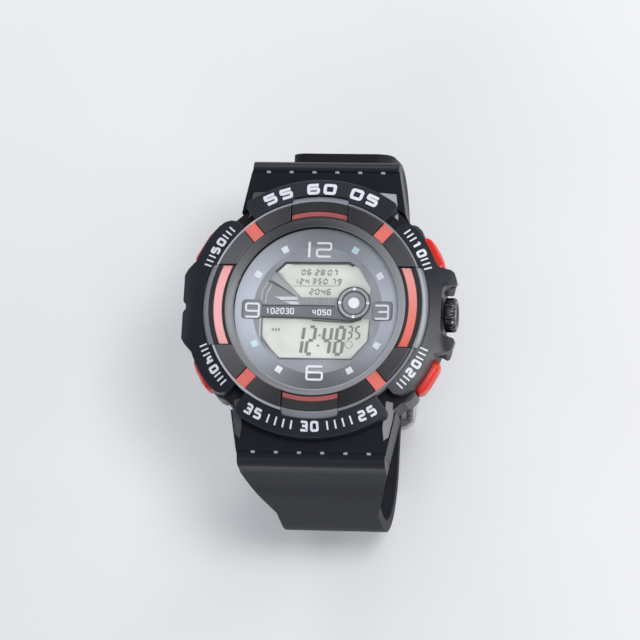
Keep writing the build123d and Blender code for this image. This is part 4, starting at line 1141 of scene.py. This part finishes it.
def make_strap():
    side = arc_from(SIDE_TOP, -RUN, BEND, 8)[::-1] + [SIDE_TOP + RUN * 3.5, SIDE_TOP + RUN * 7.1]
    short = side + corner_arc(SHORT_FLOOR, 0) + [Vector((d, SHORT_FLOOR)) for d in (14.0, 10.0, 6.7, 3.2)]
    halves = [band_half(spot.y) for spot in short]
    strap_half("strap_short", "strap_upper", 1, short, lambda k: BAND_THICK, halves, {len(short) - 2})
    long = side + corner_arc(LONG_FLOOR, 0)
    first_hole = len(long)
    holes = set()
    for k, hole_y in enumerate(HOLE_YS):
        holes |= {first_hole + 3 * k, first_hole + 3 * k + 1}
        for y in (hole_y - HOLE_HALF, hole_y, hole_y + HOLE_HALF):
            t = share(y, *TAIL_YS)
            long.append(Vector((-y, LONG_FLOOR + (TAIL_FLOOR - LONG_FLOOR) * t * t * (3 - 2 * t))))
    tail = [Vector((-spot.x, spot.y)) for spot in reversed(corner_arc(TAIL_FLOOR, SHORT_FLOOR - TAIL_FLOOR))]
    long += tail + [tail[-1] + Vector((RUN.x, -RUN.y)) * step for step in TAIL_STEPS]
    halves = [band_half(spot.y) if k < first_hole else BAND_HALF for k, spot in enumerate(long)]
    halves[-len(TIP_HALVES):] = TIP_HALVES
    strap_half("strap_long", "strap_lower", -1, long,
               lambda k: BAND_THICK if k < first_hole else TAIL_THICK, halves, holes)
    for low, high, word in ((-BAND_HALF, -PRONG_HALF, "left"), (PRONG_HALF, BAND_HALF, "right")):
        rod(f"strap_nose_{word}", BUCKLE_BAR, NOSE_R, low, high, NAVY, slot="strap_resin", bevel=0.2)
    # Ears: thin patches on the strap's shoulders beside the plates' ends, coloured as painted highlights.
    ears = {"upper": (1, [(10.6, 23.6, 0.3), (13.9, 23.4, 0.05), (14.7, 18.0, 0.05), (13.7, 18.8, 0.6),
                          (13.9, 21.2, 0.75)]),
            "lower": (-1, [(14.0, 17.3, 0.6), (15.6, 17.6, 0.05), (15.45, 20.5, 0.05), (14.75, 24.2, 0.05),
                           (13.8, 25.0, 0.05), (13.5, 22.5, 0.5), (13.8, 19.6, 0.7)])}
    for word, (side, spots) in ears.items():
        for hand, hand_word in ((1, "right"), (-1, "left")):
            rings = [[(hand * x, side * y, STRAP_TOP + z) for x, y, z in spots],
                     [(hand * x, side * y, STRAP_TOP - 0.5) for x, y, z in spots]]
            material = EAR_FAINT_HIGHLIGHT if hand < 0 else EAR_BRIGHT_HIGHLIGHT if side > 0 else EAR_DIM_HIGHLIGHT
            loft(f"ear_{word}_{hand_word}", rings, material, slot="strap_resin", bevel=0.08)


# Keeper: a soft loop round short strap and tail
KEEPER_WALL = 1.2


def make_keeper():
    low, high = node_box("keeper_loop")
    inset = KEEPER_WALL / 2
    section = fillet(corners_of(-inset, inset, low.y, high.y), 0.35, 3)
    corners = corners_of(low.x + inset, high.x - inset, low.z + inset, high.z - inset)
    path = fillet([(x, 0, z) for x, z in corners], 1.2, 6)
    keeper = carried("keeper_band", path, section, Vector((0, 1, 0)), NAVY, True, body="keeper",
                     slot="strap_resin", sharp=50)
    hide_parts("keeper_loop")


# Buckle: a bent frame of brushed steel and its prong
LOOP_HALF = 0.9


def make_buckle():
    side = node_box("buckle_frame")[1].x - LOOP_HALF
    bar = Vector((0, *BUCKLE_BAR))
    far = Vector((0, -10.2, -42.4))
    back = (far - bar).normalized()
    level = Vector((1, 0, 0)).cross(back)
    dip = level * (1 if level.z > 0 else -1) * 0.75
    half = [(side, bar - back * 1.2), (side, far), (2.6, far), (1.5, far + dip)]
    corners = [spot - Vector((x, 0, 0)) for x, spot in half]
    corners += [spot + Vector((x, 0, 0)) for x, spot in reversed(half)]
    section = fillet(corners_of(-LOOP_HALF, LOOP_HALF, -1.1, 1.1), 0.45, 3)
    loop = carried("buckle_loop", fillet(corners, 1.6, 6, False), section, level, BUCKLE, slot="buckle_steel",
                   sharp=50)
    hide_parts("buckle_frame")
    eye = [bar + Vector((0, *polar(1.0, angle).xy)) for angle in range(120, -171, -15)]
    shank = [Vector((0, y, z)) for y, z in ((-0.6, -38.75), (-4.9, -42.7), (-6.2, -43.1), (-11.2, -43.15))]
    section = fillet(corners_of(-0.42, 0.42, -0.8, 0.8), 0.25, 3)
    prong = carried("prong", eye + fillet(shank, 1.2, 4, False), section, Vector((1, 0, 0)), BUCKLE,
                    slot="buckle_steel", sharp=50)
    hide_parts("buckle_prong")


# Case back: a turned steel disc with fine grooves and four countersunk screws
SCREW_RING = 18.7
SCREW_R = 0.95


def make_back():
    disc = turned("back_disc", [
        (0.02, 0.0), (12.6, 0.0), (12.7, 0.12), (13.1, 0.12), (13.2, 0.0), (17.0, 0.0), (17.3, 0.35),
        (BACK_R - 0.5, 0.35), (BACK_R, 0.7), (BACK_R, 1.0), (0.02, 1.0),
    ], BACK_STEEL, slot="steel_back", bevel=0.04)
    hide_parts("case_back")
    screws = []
    slots = []
    for angle in (45, 135, 225, 315):
        spot = polar(SCREW_RING, angle).xy
        rim = [spot + p for p in circle(SCREW_R)]
        screws.append(prism(f"screw_{angle}", rim, 0.05, 0.5, STEEL, slot="steel", bevel=0.12))
        bar = [spot + polar(0.8, angle + a).xy for a in (10, -10, 190, 170)]
        slots.append(prism(f"screw_slot_{angle}", bar, 0.03, 0.4, CHIP, slot="steel"))
    join("back_screws", screws)
    join("screw_slots", slots)


# Floor, light and camera, in metres
FLOOR_HALF = 3.0
FLOOR_GAP = 0.0002
LAMP_TARGET = Vector((0, 0, 0.01))
# Each lamp: place, size, power
LAMPS = {
    "key": ((0.31, 0.02, 0.85), (0.24, 0.24), 3.0),
    "low_lamp": ((0.85, 0.21, 0.37), (0.75, 0.22), 3.2),
    "back_lamp": ((-0.10, 0.85, 0.40), (0.70, 0.20), 2.0),
    "front_lamp": ((-0.15, -0.68, 0.70), (0.70, 0.10), 1.0),
}


def make_floor():
    mesh = bpy.data.meshes.new("floor")
    height = cad_low.z - FLOOR_GAP
    corners = corners_of(-FLOOR_HALF, FLOOR_HALF, -FLOOR_HALF, FLOOR_HALF)
    mesh.from_pydata([(x, y, height) for x, y in corners], [], [(0, 1, 2, 3)])
    material, tree, shader = new_material("pale_floor", grey(0.80), 0.7)
    vary_color(tree, shader, grey(0.80), 40.0, 0.01)
    mesh.materials.append(material)
    add_object("floor", mesh)


def make_light():
    """A room that is darker overhead than round the sides, with four lamps."""
    world = bpy.data.worlds.new("studio")
    world.use_nodes = True
    tree = world.node_tree
    toward = add_node(tree, "ShaderNodeTexCoord", {}).outputs["Generated"]
    split = add_node(tree, "ShaderNodeSeparateXYZ", {"Vector": toward})
    sky = ramp_of(tree, split.outputs["Z"], [(0.0, (0.98, 1.02, 1.10)), (0.35, (0.80, 0.84, 0.92)),
                                             (0.75, (0.34, 0.35, 0.38)), (1.0, (0.24, 0.25, 0.27))])
    feed(tree, tree.nodes["Background"], {"Color": sky, "Strength": 1.0})
    bpy.context.scene.world = world
    for name, (place, size, power) in LAMPS.items():
        data = bpy.data.lights.new(name, "AREA")
        data.shape = "RECTANGLE"
        data.size, data.size_y = size
        data.energy = power
        lamp = add_object(name, data)
        lamp.location = place
        lamp.rotation_euler = (LAMP_TARGET - Vector(place)).to_track_quat("-Z", "Y").to_euler()


# The photograph's view: from a little to the 3 o'clock side and a little below, rolled clockwise
LEAN_X = math.radians(9.18)
LEAN_Y = math.radians(13.66)
ROLL = math.radians(3.115)
DISTANCE = 0.8
SCALE = 0.1907 * MM
FRAME_PIXELS = 640
DIAL_PIXEL = Vector((317.6, 310.6))
DIAL_POINT = Vector((0, 0, 10.45)) * MM


def make_camera():
    toward = Vector((math.tan(LEAN_X), -math.tan(LEAN_Y), 1)).normalized()
    level = Vector((0, 1, 0)).cross(toward).normalized()
    upright = toward.cross(level)
    right = level * math.cos(ROLL) + upright * math.sin(ROLL)
    up = upright * math.cos(ROLL) - level * math.sin(ROLL)
    off = (Vector((FRAME_PIXELS / 2, FRAME_PIXELS / 2)) - DIAL_PIXEL) * SCALE
    target = DIAL_POINT + right * off.x - up * off.y
    data = bpy.data.cameras.new("camera")
    data.lens = data.sensor_width * DISTANCE / (FRAME_PIXELS * SCALE)
    camera = add_object("camera", data)
    camera.matrix_world = Matrix((
        (right.x, up.x, toward.x, 0), (right.y, up.y, toward.y, 0), (right.z, up.z, toward.z, 0), (0, 0, 0, 1),
    ))
    camera.location = target + toward * DISTANCE
    data.clip_start = 0.01
    bpy.context.scene.camera = camera


paint_nodes()
make_ring()
make_shell()
make_flank()
make_minute_scale()
make_dial()
make_dial_trim()
make_subdial()
make_display()
make_caps()
make_crown()
make_strap()
make_keeper()
make_buckle()
make_back()
make_floor()
make_light()
make_camera()

bpy.context.scene.view_settings.view_transform = "Standard"
